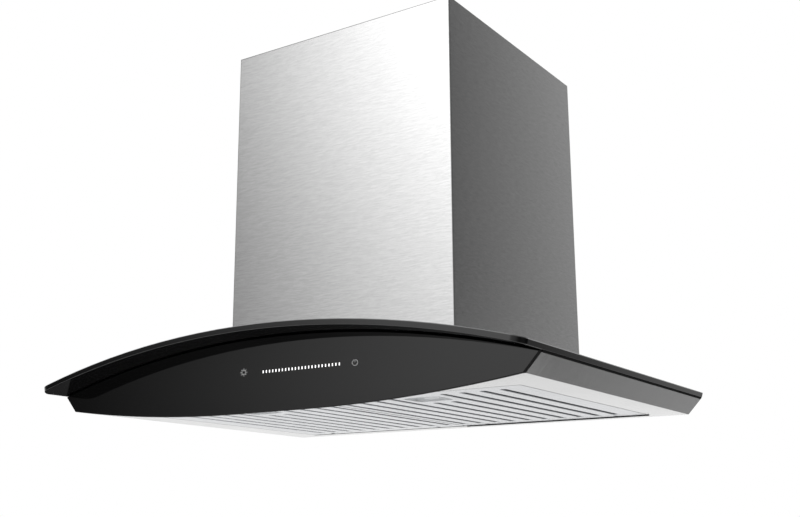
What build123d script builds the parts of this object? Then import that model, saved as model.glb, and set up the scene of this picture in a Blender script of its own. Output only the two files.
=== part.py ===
"""Wall-mounted chimney hood with an arched glass canopy and two tilting baffle filters.

Frame: x to the right, y = 0 on the wall with the front at negative y, z = 0 on the
underside of the steel tray. Millimetres.
"""

import os
from math import cos, hypot, radians, sin

from build123d import *

os.makedirs("parts", exist_ok=True)

# Glass canopy: a flat-fronted sheet bent about the y axis
glass_width = 600.0
glass_rise = 41.0
glass_thickness = 6.0
glass_edge_top = 24.0
glass_front_overhang = 37.0
glass_side_overhang = 18.5
glass_corner_radius = 12.0
glass_edge_chamfer = 0.7
gasket_thickness = 2.0
gasket_width = 12.0

# Steel tray under the glass
sheet = 1.0
body_depth = 418.0
wall_flare = 0.92
front_margin = 72.0
rear_margin = 20.0
side_margin = 39.0
lip_height = 13.0
safety_hole_radius = 3.0
safety_hole_spacing = 400.0
safety_hole_height = 24.0

# Control panel
panel_thickness = 4.0
panel_drop = 16.5
panel_flat = 90.0
panel_top_gap = 1.0
panel_edge_chamfer = 0.5
tape_thickness = 1.0
tape_inset = 3.0
tape_width = 8.0
touch_center_x = 37.0
touch_center_z = 24.0
touch_length = 170.0
touch_height = 22.0
touch_board_thickness = 1.6
touch_housing_depth = 9.0
touch_housing_wall = 1.5
touch_clearance = 0.5

# Lamps in the front strip of the tray
lamp_spacing = 240.0
lamp_setback = 37.0
lamp_lens_radius = 15.5
lamp_bezel_width = 5.0
lamp_bezel_depth = 1.6
lamp_housing_height = 13.0
lamp_housing_wall = 1.5
lamp_fin_count = 5
lamp_fin_pitch = 7.6
lamp_fin_height = 4.0
lamp_fin_thickness = 1.2

# Baffle filters
filter_clearance = 1.2
filter_centre_gap = 2.0
filter_rear_gap = 6.0
filter_height = 11.0
filter_corner_radius = 3.0
slot_count = 10
slot_width = 6.5
slot_lip_rise = 0.4
slot_lip_wall = 0.8
slot_edge_land = 0.1
slot_front_margin = 19.0
slot_rear_margin = 16.0
slot_centre_margin = 10.8
slot_side_margin = 29.0
short_slot_setback = 60.0
baffle_sheet = 0.8
baffle_width = 15.0
baffle_height = 6.0
baffle_air_gap = 2.0
rail_thickness = 3.0

# Finger cup and latch of each filter
cup_side_gap = 2.9
cup_length = 38.0
cup_corner_radius = 9.0
cup_depth = 10.2
cup_wall = 1.2
cup_flange = 3.0
cup_setback = 48.0
latch_width = 12.0
latch_thickness = 2.6
latch_clearance = 0.4
latch_pad_width = 18.0
latch_pad_length = 6.0
latch_pad_height = 4.5
latch_travel = 7.0
latch_shoulder_width = 22.0
latch_shoulder_length = 3.0
latch_shoulder_setback = 7.0
spring_sheet = 0.6
spring_bends = 6
spring_width = 3.0
keeper_width = 14.0
keeper_nose = 4.0
keeper_top_inset = 1.0
keeper_notch_width = 18.0

# Filter hinges
hinge_height = 4.5
hinge_setback = 4.0
hinge_pin_radius = 2.5
hinge_running_gap = 0.05
hinge_ear_radius = 4.0
hinge_ear_thickness = 2.0
hinge_spacing = 170.0
hinge_seat_length = 5.0
hinge_seat_gap = 1.2
hinge_base_width = 14.0
hinge_base_height = 10.0
hinge_base_thickness = 1.2

# Chimney
chimney_width = 300.0
chimney_depth = 306.0
chimney_top = 437.0
chimney_sheet = 0.8
chimney_bend_radius = 1.6
chimney_return = 12.0
sleeve_gap = 0.6
upper_length = 340.0
upper_top_inset = 1.0
bracket_sheet = 1.5
bracket_height = 20.0
bracket_drop = 10.0
bracket_tab = 24.0
bracket_joggle = 6.0
bracket_gap = 0.3
bracket_hole_radius = 3.0
bracket_hole_spacing = 200.0

# Motor box
box_side_clearance = 18.0
box_front_clearance = 10.0
box_top = 330.0
box_bend_radius = 1.5
deck_rim = 7.0
notch_clearance = 4.0
wall_hole_radius = 4.0
wall_hole_spacing_x = 200.0
wall_hole_spacing_z = 180.0
wall_hole_centre_z = 200.0

# Blower
scroll_start_radius = 80.0
scroll_step = 8.0
scroll_width = 116.0
scroll_wall = 1.5
scroll_front_clearance = 8.5
scroll_floor_clearance = 20.0
inlet_radius = 62.0
inlet_flare = 8.0
impeller_radius = 70.0
blade_inner_radius = 58.0
blade_count = 32
blade_thickness = 1.2
blade_sweep = 11.0
blade_bulge = 2.2
impeller_side_gap = 4.0
impeller_disc_thickness = 2.0
impeller_ring_width = 4.0
hub_radius = 11.0
hub_length = 12.0
shaft_radius = 4.0
shaft_running_gap = 0.05
motor_radius = 40.0
motor_hub_gap = 3.0
motor_fillet = 4.0
carrier_ring = 5.0
carrier_gap = 1.0
carrier_thickness = 3.0
carrier_arm_width = 9.0
carrier_reach = 84.0
carrier_foot = 8.0
carrier_arms = 3
capacitor_radius = 17.0
capacitor_length = 68.0
capacitor_gap = 0.2
capacitor_x = 45.0
capacitor_z = 150.0
capacitor_clip_width = 14.0
capacitor_clip_sheet = 1.2
capacitor_clip_ear = 10.0
capacitor_clip_mouth = 12.0

# Outlet collar with its back-draught flaps
collar_radius = 75.0
collar_wall = 2.0
collar_height = 52.0
collar_flange_width = 12.0
collar_flange_thickness = 2.0
flap_pin_radius = 2.0
flap_pin_height = 20.0
flap_running_gap = 0.05
flap_thickness = 1.0
flap_edge_gap = 1.0
flap_pin_gap = 4.2
flap_knuckle_radius = 3.5
flap_knuckle_gap = 1.0
flap_knuckle_count = 4
flap_knuckle_span = 112.0
flap_stop_width = 4.0
flap_stop_gap = 0.3
flap_stop_thickness = 1.6

# Terminal box
terminal_width = 36.0
terminal_depth = 52.0
terminal_height = 40.0
terminal_wall = 2.0
terminal_lid_thickness = 2.5
terminal_rear_margin = 18.0
terminal_side_margin = 4.0
gland_radius = 8.0
gland_bore_radius = 4.0
gland_nut_radius = 11.0
gland_nut_height = 6.0
gland_height = 20.0

# The glass, its gasket and the deck below share one axis along y
half_chord = glass_width / 2
glass_top_radius = (half_chord**2 + glass_rise**2) / (2 * glass_rise)
glass_under_radius = glass_top_radius - glass_thickness
deck_top_radius = glass_under_radius - gasket_thickness
deck_under_radius = deck_top_radius - sheet
arch_z = glass_edge_top + glass_rise - glass_top_radius
crown_z = glass_edge_top + glass_rise
above_glass = crown_z + 3 * glass_thickness

# Front to back
panel_front_y = -body_depth
panel_back_y = panel_front_y + panel_thickness
tray_front_y = panel_back_y + tape_thickness
tray_depth = -tray_front_y
opening_front_y = -body_depth + front_margin
opening_rear_y = -rear_margin

# Side to side
tray_width = glass_width - 2 * glass_side_overhang
opening_half = tray_width / 2 - side_margin

# Filters
filter_front_y = opening_front_y + filter_clearance
filter_rear_y = opening_rear_y - filter_rear_gap
filter_length = filter_rear_y - filter_front_y
filter_mid_y = (filter_front_y + filter_rear_y) / 2
filter_width = opening_half - filter_clearance - filter_centre_gap / 2
filter_offset = filter_centre_gap / 2 + filter_width / 2
slot_front_y = filter_front_y + slot_front_margin
slot_rear_y = filter_rear_y - slot_rear_margin
slot_pitch = (filter_width - slot_centre_margin - slot_side_margin) / (slot_count - 1)
short_slots = (slot_count // 2 - 1, slot_count // 2)
latch_offset = filter_centre_gap / 2 + slot_centre_margin + slot_pitch * (slot_count - 1) / 2
cup_y = filter_front_y + cup_setback
cup_width = 3 * slot_pitch - baffle_width - 2 * cup_side_gap
cup_front_y = cup_y - cup_length / 2
latch_top_z = cup_depth - cup_wall - latch_clearance
latch_under_z = latch_top_z - latch_thickness
latch_pad_y = cup_y + cup_length / 2 - cup_wall - latch_travel - latch_pad_length - latch_clearance
shoulder_front_y = filter_front_y + latch_shoulder_setback
shoulder_rear_y = shoulder_front_y + latch_shoulder_length
hinge_y = filter_rear_y - hinge_setback

# Chimney and motor box
upper_width = chimney_width - 2 * (chimney_sheet + sleeve_gap)
upper_rear_y = -chimney_sheet - sleeve_gap
upper_depth = chimney_depth - 2 * (chimney_sheet + sleeve_gap)
upper_top = chimney_top - upper_top_inset
box_half = chimney_width / 2 - box_side_clearance
box_depth = chimney_depth - box_front_clearance

# Blower
scroll_outer_left = scroll_start_radius + scroll_step / 2 + scroll_wall
scroll_outlet_right = scroll_start_radius + 2.5 * scroll_step
fan_y = -box_depth + sheet + scroll_front_clearance + scroll_outer_left
fan_z = crown_z + scroll_floor_clearance + scroll_start_radius + 1.5 * scroll_step + scroll_wall
outlet_y = fan_y + (scroll_outlet_right - scroll_step / 2) / 2
scroll_side_x = scroll_width / 2 + scroll_wall
motor_right_x = -hub_length / 2 - motor_hub_gap
carrier_right_x = -scroll_side_x - inlet_flare - carrier_gap
carrier_left_x = carrier_right_x - carrier_thickness
motor_left_x = carrier_left_x - motor_fillet
motor_length = motor_right_x - motor_left_x
collar_inner_radius = collar_radius - collar_wall
flap_pin_z = box_top + flap_pin_height


def save(piece, name):
    """Label a finished piece and write its STEP file."""
    piece.label = name
    export_step(piece, f"parts/{name}.step")


def tray_section(inset):
    """Corners of the flared tray section, drawn in by a sheet and open past the arch."""
    side_inset = inset * hypot(1, wall_flare)
    low = tray_width / 2 + wall_flare * inset - side_inset
    high = tray_width / 2 + wall_flare * above_glass - side_inset
    return [(-low, inset), (low, inset), (high, above_glass), (-high, above_glass)]


# Steel tray: floor, flared sides, front and back walls, and a lip round the filter opening
opening_length = opening_rear_y - opening_front_y
opening_mid_y = (opening_front_y + opening_rear_y) / 2
lamp_y = panel_front_y + lamp_setback
lamp_places = [(-lamp_spacing / 2, lamp_y), (lamp_spacing / 2, lamp_y)]
lamp_hole_radius = lamp_lens_radius + lamp_bezel_width / 3
with BuildPart() as tray:
    with BuildSketch(Plane.XZ):
        Polygon(*tray_section(0), align=None)
        with Locations((0, arch_z)):
            Circle(deck_under_radius, mode=Mode.INTERSECT)
    extrude(amount=tray_depth)
    with BuildSketch(Plane.XZ.offset(sheet)):
        Polygon(*tray_section(sheet), align=None)
    extrude(amount=tray_depth - 2 * sheet, mode=Mode.SUBTRACT)
    with BuildSketch():
        with Locations((0, opening_mid_y)):
            Rectangle(2 * opening_half + 2 * sheet, opening_length + 2 * sheet)
    extrude(amount=lip_height)
    with BuildSketch():
        with Locations((0, opening_mid_y)):
            Rectangle(2 * opening_half, opening_length)
    extrude(amount=lip_height, mode=Mode.SUBTRACT)
    with BuildSketch():
        with Locations(*lamp_places):
            Circle(lamp_hole_radius)
    extrude(amount=sheet, mode=Mode.SUBTRACT)
    with BuildSketch(Plane.XZ.offset(tray_depth)):
        with Locations((touch_center_x, touch_center_z)):
            Rectangle(touch_length + 2 * touch_clearance, touch_height + 2 * touch_clearance)
    extrude(amount=-sheet, mode=Mode.SUBTRACT)
    with BuildSketch(Plane.XZ):
        with Locations((0, safety_hole_height)):
            with GridLocations(safety_hole_spacing, 0, 2, 1):
                Circle(safety_hole_radius)
    extrude(amount=sheet, mode=Mode.SUBTRACT)
save(tray.part, "tray")

# Arched steel deck that closes the tray and carries the motor box
deck_hole_half = box_half - deck_rim
deck_hole_depth = box_depth - 2 * deck_rim
with BuildPart() as deck:
    with BuildSketch(Plane.XZ):
        Polygon(*tray_section(0), align=None)
        with Locations((0, arch_z)):
            Circle(deck_top_radius, mode=Mode.INTERSECT)
            Circle(deck_under_radius, mode=Mode.SUBTRACT)
    extrude(amount=tray_depth)
    with BuildSketch():
        with Locations((0, -box_depth / 2)):
            Rectangle(2 * deck_hole_half, deck_hole_depth)
    extrude(amount=above_glass, mode=Mode.SUBTRACT)
save(deck.part, "deck")

# Rubber gasket between deck and glass, round the edge and clear of the motor box
notch_half = box_half + notch_clearance
notch_depth = box_depth + notch_clearance
gasket_half = tray_width / 2 - gasket_width
with BuildPart() as gasket:
    with BuildSketch(Plane.XZ):
        Polygon(*tray_section(0), align=None)
        with Locations((0, arch_z)):
            Circle(glass_under_radius, mode=Mode.INTERSECT)
            Circle(deck_top_radius, mode=Mode.SUBTRACT)
    extrude(amount=tray_depth)
    with BuildSketch():
        with Locations((0, -tray_depth / 2)):
            Rectangle(2 * gasket_half, tray_depth - 2 * gasket_width)
        with Locations((0, -notch_depth / 2)):
            Rectangle(2 * notch_half, notch_depth)
    extrude(amount=above_glass, mode=Mode.SUBTRACT)
save(gasket.part, "glass_gasket")

# Arched glass with rounded front corners and a notch for the motor box
glass_depth = body_depth + glass_front_overhang
wedge_reach = 1.2
wedge_x = wedge_reach * half_chord
wedge_z = arch_z + wedge_reach * (glass_edge_top - arch_z)
with BuildPart() as glass:
    with BuildSketch(Plane.XZ):
        Polygon((0, arch_z), (wedge_x, wedge_z), (-wedge_x, wedge_z), align=None)
        with Locations((0, arch_z)):
            Circle(glass_top_radius, mode=Mode.INTERSECT)
            Circle(glass_under_radius, mode=Mode.SUBTRACT)
    extrude(amount=glass_depth)
    front_corners = glass.faces().sort_by(Axis.Y)[0].edges().filter_by(GeomType.LINE)
    fillet(front_corners, radius=glass_corner_radius)
    skins = glass.faces().filter_by(GeomType.CYLINDER).sort_by(SortBy.AREA)[-2:]
    rims = [edge for edge in skins.edges() if edge.center().Y < -glass_thickness]
    chamfer(rims, length=glass_edge_chamfer)
    with BuildSketch():
        with Locations((0, -notch_depth / 2)):
            Rectangle(2 * notch_half, notch_depth)
    extrude(amount=above_glass, mode=Mode.SUBTRACT)
save(glass.part, "glass_canopy")

# Flat control panel, with a lower edge that dips below the tray
with BuildPart() as panel:
    with BuildSketch(Plane.XZ.offset(-panel_back_y)):
        with BuildLine():
            low_left = (-tray_width / 2, 0)
            low_right = (tray_width / 2, 0)
            flat_left = (-panel_flat / 2, -panel_drop)
            flat_right = (panel_flat / 2, -panel_drop)
            high_right, high_left = tray_section(0)[2:]
            Line(flat_left, flat_right)
            TangentArc(flat_right, low_right, tangent=(1, 0))
            Polyline(low_right, high_right, high_left, low_left)
            TangentArc(flat_left, low_left, tangent=(-1, 0))
        make_face()
        with Locations((0, arch_z)):
            Circle(glass_under_radius - panel_top_gap, mode=Mode.INTERSECT)
    extrude(amount=panel_thickness)
    chamfer(panel.faces().sort_by(Axis.Y)[0].edges(), length=panel_edge_chamfer)
save(panel.part, "control_panel")

# Foam tape that bonds the panel to the tray's front wall
with BuildPart() as tape:
    with BuildSketch(Plane.XZ.offset(tray_depth)):
        Polygon(*tray_section(tape_inset), align=None)
        with Locations((0, arch_z)):
            Circle(deck_under_radius - tape_inset, mode=Mode.INTERSECT)
        Polygon(*tray_section(tape_inset + tape_width / 2), align=None, mode=Mode.SUBTRACT)
    with BuildSketch(Plane.XZ.offset(tray_depth)):
        Polygon(*tray_section(tape_inset), align=None)
        with Locations((0, arch_z)):
            Circle(deck_under_radius - tape_inset, mode=Mode.INTERSECT)
            Circle(deck_under_radius - tape_inset - tape_width, mode=Mode.SUBTRACT)
    extrude(amount=tape_thickness)
save(tape.part, "panel_tape")

# Touch board against the back of the panel, and its housing behind the front wall
with BuildPart() as touch_board:
    with BuildSketch(Plane.XZ.offset(-panel_back_y)):
        with Locations((touch_center_x, touch_center_z)):
            Rectangle(touch_length, touch_height)
    extrude(amount=-touch_board_thickness)
save(touch_board.part, "touch_board")

housing_length = touch_length + 2 * touch_clearance + 2 * touch_housing_wall
housing_height = touch_height + 2 * touch_clearance + 2 * touch_housing_wall
with BuildPart() as touch_housing:
    with BuildSketch(Plane.XZ.offset(tray_depth - sheet)):
        with Locations((touch_center_x, touch_center_z)):
            RectangleRounded(housing_length, housing_height, 2 * touch_housing_wall)
    extrude(amount=-touch_housing_depth)
    front = touch_housing.faces().sort_by(Axis.Y)[0]
    offset(amount=-touch_housing_wall, openings=front)
save(touch_housing.part, "touch_housing")

# Two lamps: a bezel under the tray, a lens in its hole and a finned housing above
lamp_rim = lamp_lens_radius + lamp_bezel_width
lamp_top = sheet + lamp_housing_height
for side, (lamp_x, _) in zip(("left", "right"), lamp_places):
    lamp_axis = (lamp_x, lamp_y)
    with BuildPart() as bezel:
        with BuildSketch():
            with Locations(lamp_axis):
                Circle(lamp_rim)
                Circle(lamp_lens_radius, mode=Mode.SUBTRACT)
        extrude(amount=-lamp_bezel_depth)
        rims = bezel.faces().sort_by(Axis.Z)[0].edges()
        fillet(rims, radius=lamp_bezel_depth / 3)
    save(bezel.part, f"lamp_{side}_bezel")
    with BuildPart() as lens:
        with BuildSketch():
            with Locations(lamp_axis):
                Circle(lamp_hole_radius)
        extrude(amount=sheet)
        with BuildSketch():
            with Locations(lamp_axis):
                Circle(lamp_lens_radius)
        extrude(amount=-lamp_bezel_depth / 2)
    save(lens.part, f"lamp_{side}_lens")
    with BuildPart() as lamp_housing:
        with BuildSketch(Plane.XY.offset(sheet)):
            with Locations(lamp_axis):
                Circle(lamp_rim)
        extrude(amount=lamp_housing_height)
        floor = lamp_housing.faces().sort_by(Axis.Z)[0]
        offset(amount=-lamp_housing_wall, openings=floor)
        with BuildSketch(Plane.XY.offset(lamp_top)):
            with Locations(lamp_axis):
                with GridLocations(lamp_fin_pitch, 0, lamp_fin_count, 1):
                    Rectangle(lamp_fin_thickness, lamp_rim)
        extrude(amount=lamp_fin_height)
    save(lamp_housing.part, f"lamp_{side}_housing")

# Hinge positions along each filter, and the ears' brackets on the rear lip
hinge_places = [
    sign * filter_offset + step * hinge_spacing / 2 for sign in (-1, 1) for step in (-1, 1)
]
base_rear_y = opening_rear_y
base_front_y = base_rear_y - hinge_base_thickness
with BuildPart() as hinge_brackets:
    for x in hinge_places:
        with BuildSketch(Plane.YZ.offset(x - hinge_ear_thickness / 2)):
            with BuildLine():
                top = (hinge_y, hinge_height + hinge_ear_radius)
                bottom = (hinge_y, hinge_height - hinge_ear_radius)
                tip = (hinge_y - hinge_ear_radius, hinge_height)
                rear_top = (base_front_y, hinge_height + hinge_ear_radius)
                rear_bottom = (base_front_y, hinge_height - hinge_ear_radius)
                ThreePointArc(top, tip, bottom)
                Polyline(bottom, rear_bottom, rear_top, top)
            make_face()
            with Locations((hinge_y, hinge_height)):
                Circle(hinge_pin_radius + hinge_running_gap, mode=Mode.SUBTRACT)
        extrude(amount=hinge_ear_thickness)
        with BuildSketch(Plane.XZ.offset(-base_rear_y)):
            with Locations((x, hinge_height - hinge_ear_radius + hinge_base_height / 2)):
                Rectangle(hinge_base_width, hinge_base_height)
        extrude(amount=hinge_base_thickness)
save(hinge_brackets.part, "filter_hinge_brackets")

# Filters: a slotted pan with a baffle layer, a finger cup, hinge pins and a sprung latch
slot_lines = [
    (i, filter_centre_gap / 2 + slot_centre_margin + i * slot_pitch) for i in range(slot_count)
]
ear_notch_half = hinge_ear_thickness / 2 + hinge_seat_gap
ear_notch_front_y = hinge_y - hinge_ear_radius - hinge_seat_gap
seat_rear_y = filter_rear_y - sheet / 2
seat_front_y = hinge_y - hinge_ear_radius
seat_height = hinge_height + hinge_ear_radius
baffle_low_z = sheet + baffle_air_gap
baffle_high_z = baffle_low_z + baffle_height
rail_front_y = slot_front_y - 2 * rail_thickness
rail_rear_y = slot_rear_y + rail_thickness
tongue_length = latch_pad_y + latch_pad_length - filter_front_y
keeper_y = opening_front_y + spring_sheet / 2
keeper_top_z = lip_height - keeper_top_inset
for side, sign in (("left", -1), ("right", 1)):
    mid_x = sign * filter_offset
    latch_x = sign * latch_offset
    starts = {i: slot_front_y + short_slot_setback * (i in short_slots) for i, _ in slot_lines}
    slots = [
        (sign * x, (starts[i] + slot_rear_y) / 2, slot_rear_y - starts[i]) for i, x in slot_lines
    ]
    own_hinges = [mid_x - hinge_spacing / 2, mid_x + hinge_spacing / 2]

    with BuildPart() as face:
        with BuildSketch():
            with Locations((mid_x, filter_mid_y)):
                RectangleRounded(filter_width, filter_length, filter_corner_radius)
        extrude(amount=filter_height)
        with BuildSketch(Plane.XY.offset(sheet)):
            with Locations((mid_x, filter_mid_y)):
                RectangleRounded(
                    filter_width - 2 * sheet,
                    filter_length - 2 * sheet,
                    filter_corner_radius - sheet,
                )
        extrude(amount=filter_height, mode=Mode.SUBTRACT)
        with BuildSketch(Plane.XY.offset(sheet)):
            with Locations(*[(x, (seat_front_y + seat_rear_y) / 2) for x in own_hinges]):
                Rectangle(
                    2 * (ear_notch_half + hinge_seat_length),
                    seat_rear_y - seat_front_y,
                )
        extrude(amount=seat_height - sheet)
        with BuildSketch(Plane.XY.offset(sheet)):
            for x, y, length in slots:
                with Locations((x, y)):
                    SlotOverall(
                        length + 2 * slot_lip_wall, slot_width + 2 * slot_lip_wall, rotation=90
                    )
        extrude(amount=slot_lip_rise)
        with BuildSketch():
            for x, y, length in slots:
                with Locations((x, y)):
                    SlotOverall(length, slot_width, rotation=90)
        extrude(amount=sheet + slot_lip_rise, mode=Mode.SUBTRACT)
        slot_rims = face.faces().sort_by(Axis.Z)[0].inner_wires().edges()
        fillet(slot_rims, radius=sheet - slot_edge_land)
        with BuildSketch():
            with Locations((latch_x, cup_y)):
                RectangleRounded(cup_width, cup_length, cup_corner_radius)
        extrude(amount=sheet, mode=Mode.SUBTRACT)
        with BuildSketch(Plane.XY.offset(sheet)):
            with Locations((latch_x, filter_front_y)):
                Rectangle(keeper_notch_width, 2 * sheet)
        extrude(amount=filter_height, mode=Mode.SUBTRACT)
        with BuildSketch():
            with Locations(*[(x, (ear_notch_front_y + opening_rear_y) / 2) for x in own_hinges]):
                Rectangle(2 * ear_notch_half, opening_rear_y - ear_notch_front_y)
        extrude(amount=filter_height, mode=Mode.SUBTRACT)
        with BuildSketch(Plane.YZ.offset(mid_x)):
            with Locations((hinge_y, hinge_height)):
                Circle(hinge_pin_radius)
        extrude(amount=filter_width / 2 - 2 * sheet, both=True, mode=Mode.SUBTRACT)
    save(face.part, f"filter_{side}_face")

    with BuildPart() as pivots:
        for x in own_hinges:
            with BuildSketch(Plane.YZ.offset(x)):
                with Locations((hinge_y, hinge_height)):
                    Circle(hinge_pin_radius)
            extrude(amount=ear_notch_half + hinge_seat_length, both=True)
    save(pivots.part, f"filter_{side}_pivots")

    with BuildPart() as baffle:
        for i, x in slot_lines:
            with BuildSketch(Plane.XZ.offset(-rail_rear_y)):
                with Locations((sign * x, baffle_low_z)):
                    Rectangle(baffle_width, baffle_height, align=(Align.CENTER, Align.MIN))
                    Rectangle(
                        baffle_width - 2 * baffle_sheet,
                        baffle_height - baffle_sheet,
                        align=(Align.CENTER, Align.MIN),
                        mode=Mode.SUBTRACT,
                    )
            extrude(amount=rail_rear_y - starts[i] + rail_thickness)
        with BuildSketch(Plane.XY.offset(sheet)):
            with Locations((mid_x, rail_rear_y + rail_thickness / 2)):
                Rectangle(filter_width - 2 * sheet, rail_thickness)
            with Locations((mid_x, rail_front_y + rail_thickness / 2)):
                Rectangle(filter_width - 2 * sheet, rail_thickness)
            with Locations((latch_x, rail_front_y)):
                Rectangle(cup_width + 2 * cup_flange, 3 * rail_thickness, mode=Mode.SUBTRACT)
        extrude(amount=baffle_high_z - sheet)
        with BuildSketch(Plane.XY.offset(baffle_low_z)):
            with Locations((latch_x, slot_front_y + short_slot_setback - 1.5 * rail_thickness)):
                Rectangle(3 * slot_pitch, rail_thickness)
        extrude(amount=baffle_height)
    save(baffle.part, f"filter_{side}_baffle")

    with BuildPart() as cup:
        with BuildSketch():
            with Locations((latch_x, cup_y)):
                RectangleRounded(cup_width, cup_length, cup_corner_radius)
        extrude(amount=cup_depth)
        with BuildSketch(Plane.XY.offset(sheet)):
            with Locations((latch_x, cup_y)):
                RectangleRounded(
                    cup_width + 2 * cup_flange,
                    cup_length + 2 * cup_flange,
                    cup_corner_radius + cup_flange,
                )
        extrude(amount=cup_wall)
        with BuildSketch():
            with Locations((latch_x, cup_y)):
                RectangleRounded(
                    cup_width - 2 * cup_wall,
                    cup_length - 2 * cup_wall,
                    cup_corner_radius - cup_wall,
                )
        extrude(amount=cup_depth - cup_wall, mode=Mode.SUBTRACT)
        with BuildSketch(Plane.XZ.offset(-cup_y)):
            with Locations((latch_x, (latch_top_z + latch_under_z) / 2)):
                Rectangle(
                    latch_width + 2 * latch_clearance,
                    latch_thickness + 2 * latch_clearance,
                )
        extrude(amount=cup_length, mode=Mode.SUBTRACT)
    save(cup.part, f"filter_{side}_cup")

    with BuildPart() as latch:
        with BuildSketch(Plane.XY.offset(latch_under_z)):
            with Locations((latch_x, filter_front_y)):
                Rectangle(latch_width, tongue_length, align=(Align.CENTER, Align.MIN))
            with Locations((latch_x, shoulder_front_y)):
                Rectangle(
                    latch_shoulder_width,
                    latch_shoulder_length,
                    align=(Align.CENTER, Align.MIN),
                )
        extrude(amount=latch_thickness)
        with BuildSketch(Plane.XY.offset(latch_under_z)):
            with Locations((latch_x, latch_pad_y)):
                Rectangle(
                    latch_pad_width,
                    latch_pad_length,
                    align=(Align.CENTER, Align.MIN),
                )
        extrude(amount=-latch_pad_height)
        grip = latch.faces().sort_by(Axis.Z)[0].edges()
        fillet(grip, radius=latch_pad_length / 4)
    save(latch.part, f"filter_{side}_latch")

    with BuildPart() as latch_springs:
        spring_length = cup_front_y - shoulder_rear_y - 2 * spring_sheet
        for offside in (-1, 1):
            spring_x = latch_x + offside * (latch_shoulder_width - spring_width) / 2
            with BuildSketch(Plane.XY.offset(latch_under_z)):
                with BuildLine():
                    Polyline(
                        *[
                            (
                                spring_x + (bend % 2 - 0.5) * (spring_width - spring_sheet),
                                shoulder_rear_y + spring_sheet + bend * spring_length / spring_bends,
                            )
                            for bend in range(spring_bends + 1)
                        ]
                    )
                trace(line_width=spring_sheet)
            extrude(amount=latch_thickness)
    save(latch_springs.part, f"filter_{side}_latch_springs")

    with BuildPart() as keeper:
        with BuildSketch(Plane.YZ.offset(latch_x - keeper_width / 2)):
            with BuildLine():
                Polyline(
                    (keeper_y, keeper_top_z),
                    (keeper_y, latch_under_z - 2 * latch_clearance),
                    (keeper_y + keeper_nose, latch_under_z / 2 + latch_clearance),
                    (keeper_y + spring_sheet, sheet + spring_sheet),
                )
            trace(line_width=spring_sheet)
        extrude(amount=keeper_width)
    save(keeper.part, f"filter_{side}_keeper")


# Motor box: a steel cover on the deck, open below, with the outlet hole on top
with BuildPart() as motor_box:
    with BuildSketch():
        with Locations((0, -box_depth / 2)):
            RectangleRounded(2 * box_half, box_depth, box_bend_radius)
    extrude(amount=box_top)
    with BuildSketch():
        with Locations((0, -box_depth / 2)):
            Rectangle(2 * (box_half - sheet), box_depth - 2 * sheet)
    extrude(amount=box_top - sheet, mode=Mode.SUBTRACT)
    with BuildSketch(Plane.XZ):
        with Locations((0, arch_z)):
            Circle(deck_top_radius)
    extrude(amount=box_depth, mode=Mode.SUBTRACT)
    with BuildSketch(Plane.XY.offset(box_top)):
        with Locations((0, outlet_y)):
            Circle(collar_inner_radius)
    extrude(amount=-sheet, mode=Mode.SUBTRACT)
    with BuildSketch(Plane.XZ):
        with Locations((0, wall_hole_centre_z)):
            with GridLocations(wall_hole_spacing_x, wall_hole_spacing_z, 2, 2):
                Circle(wall_hole_radius)
    extrude(amount=sheet, mode=Mode.SUBTRACT)
save(motor_box.part, "motor_box")


# Scroll casing: three growing quarter arcs and a throat up to the outlet, open at both sides
throat_top = box_top - sheet - fan_z
fan_plane = Plane.YZ.shift_origin((0, fan_y, fan_z))


def volute():
    """Add the inside line of the scroll to the current line builder."""
    half = scroll_step / 2
    right = half + scroll_start_radius + 2 * scroll_step
    CenterArc((-half, -half), scroll_start_radius, 90, 90)
    CenterArc((half, -half), scroll_start_radius + scroll_step, 180, 90)
    CenterArc((half, half), scroll_start_radius + 2 * scroll_step, 270, 90)
    Polyline(
        (right, half),
        (right, throat_top),
        (-half, throat_top),
        (-half, scroll_start_radius - half),
    )


with BuildPart() as scroll:
    with BuildSketch(fan_plane):
        with BuildLine():
            volute()
        make_face()
        offset(amount=scroll_wall, kind=Kind.INTERSECTION)
        with Locations((0, throat_top)):
            Rectangle(
                4 * scroll_start_radius,
                scroll_start_radius,
                align=(Align.CENTER, Align.MIN),
                mode=Mode.SUBTRACT,
            )
    extrude(amount=scroll_side_x, both=True)
    with BuildSketch(fan_plane):
        with BuildLine():
            volute()
        make_face()
    extrude(amount=scroll_width / 2, both=True, mode=Mode.SUBTRACT)
    with BuildSketch(fan_plane):
        Circle(inlet_radius)
    extrude(amount=scroll_side_x, both=True, mode=Mode.SUBTRACT)
save(scroll.part, "scroll_casing")

# Bell-mouth rings on both inlets
for side, sign in (("left", -1), ("right", 1)):
    ring_x = sign * scroll_side_x
    with BuildPart() as inlet_ring:
        with BuildSketch(Plane.XY):
            with BuildLine():
                throat = (ring_x, inlet_radius)
                mouth = (ring_x + sign * inlet_flare, inlet_radius + inlet_flare)
                foot = (ring_x, inlet_radius + inlet_flare)
                RadiusArc(throat, mouth, -sign * inlet_flare)
                Polyline(mouth, foot, throat)
            make_face()
        revolve(axis=Axis.X)
    bell = inlet_ring.part.moved(Location((0, fan_y, fan_z)))
    save(bell, f"inlet_ring_{side}")

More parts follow.
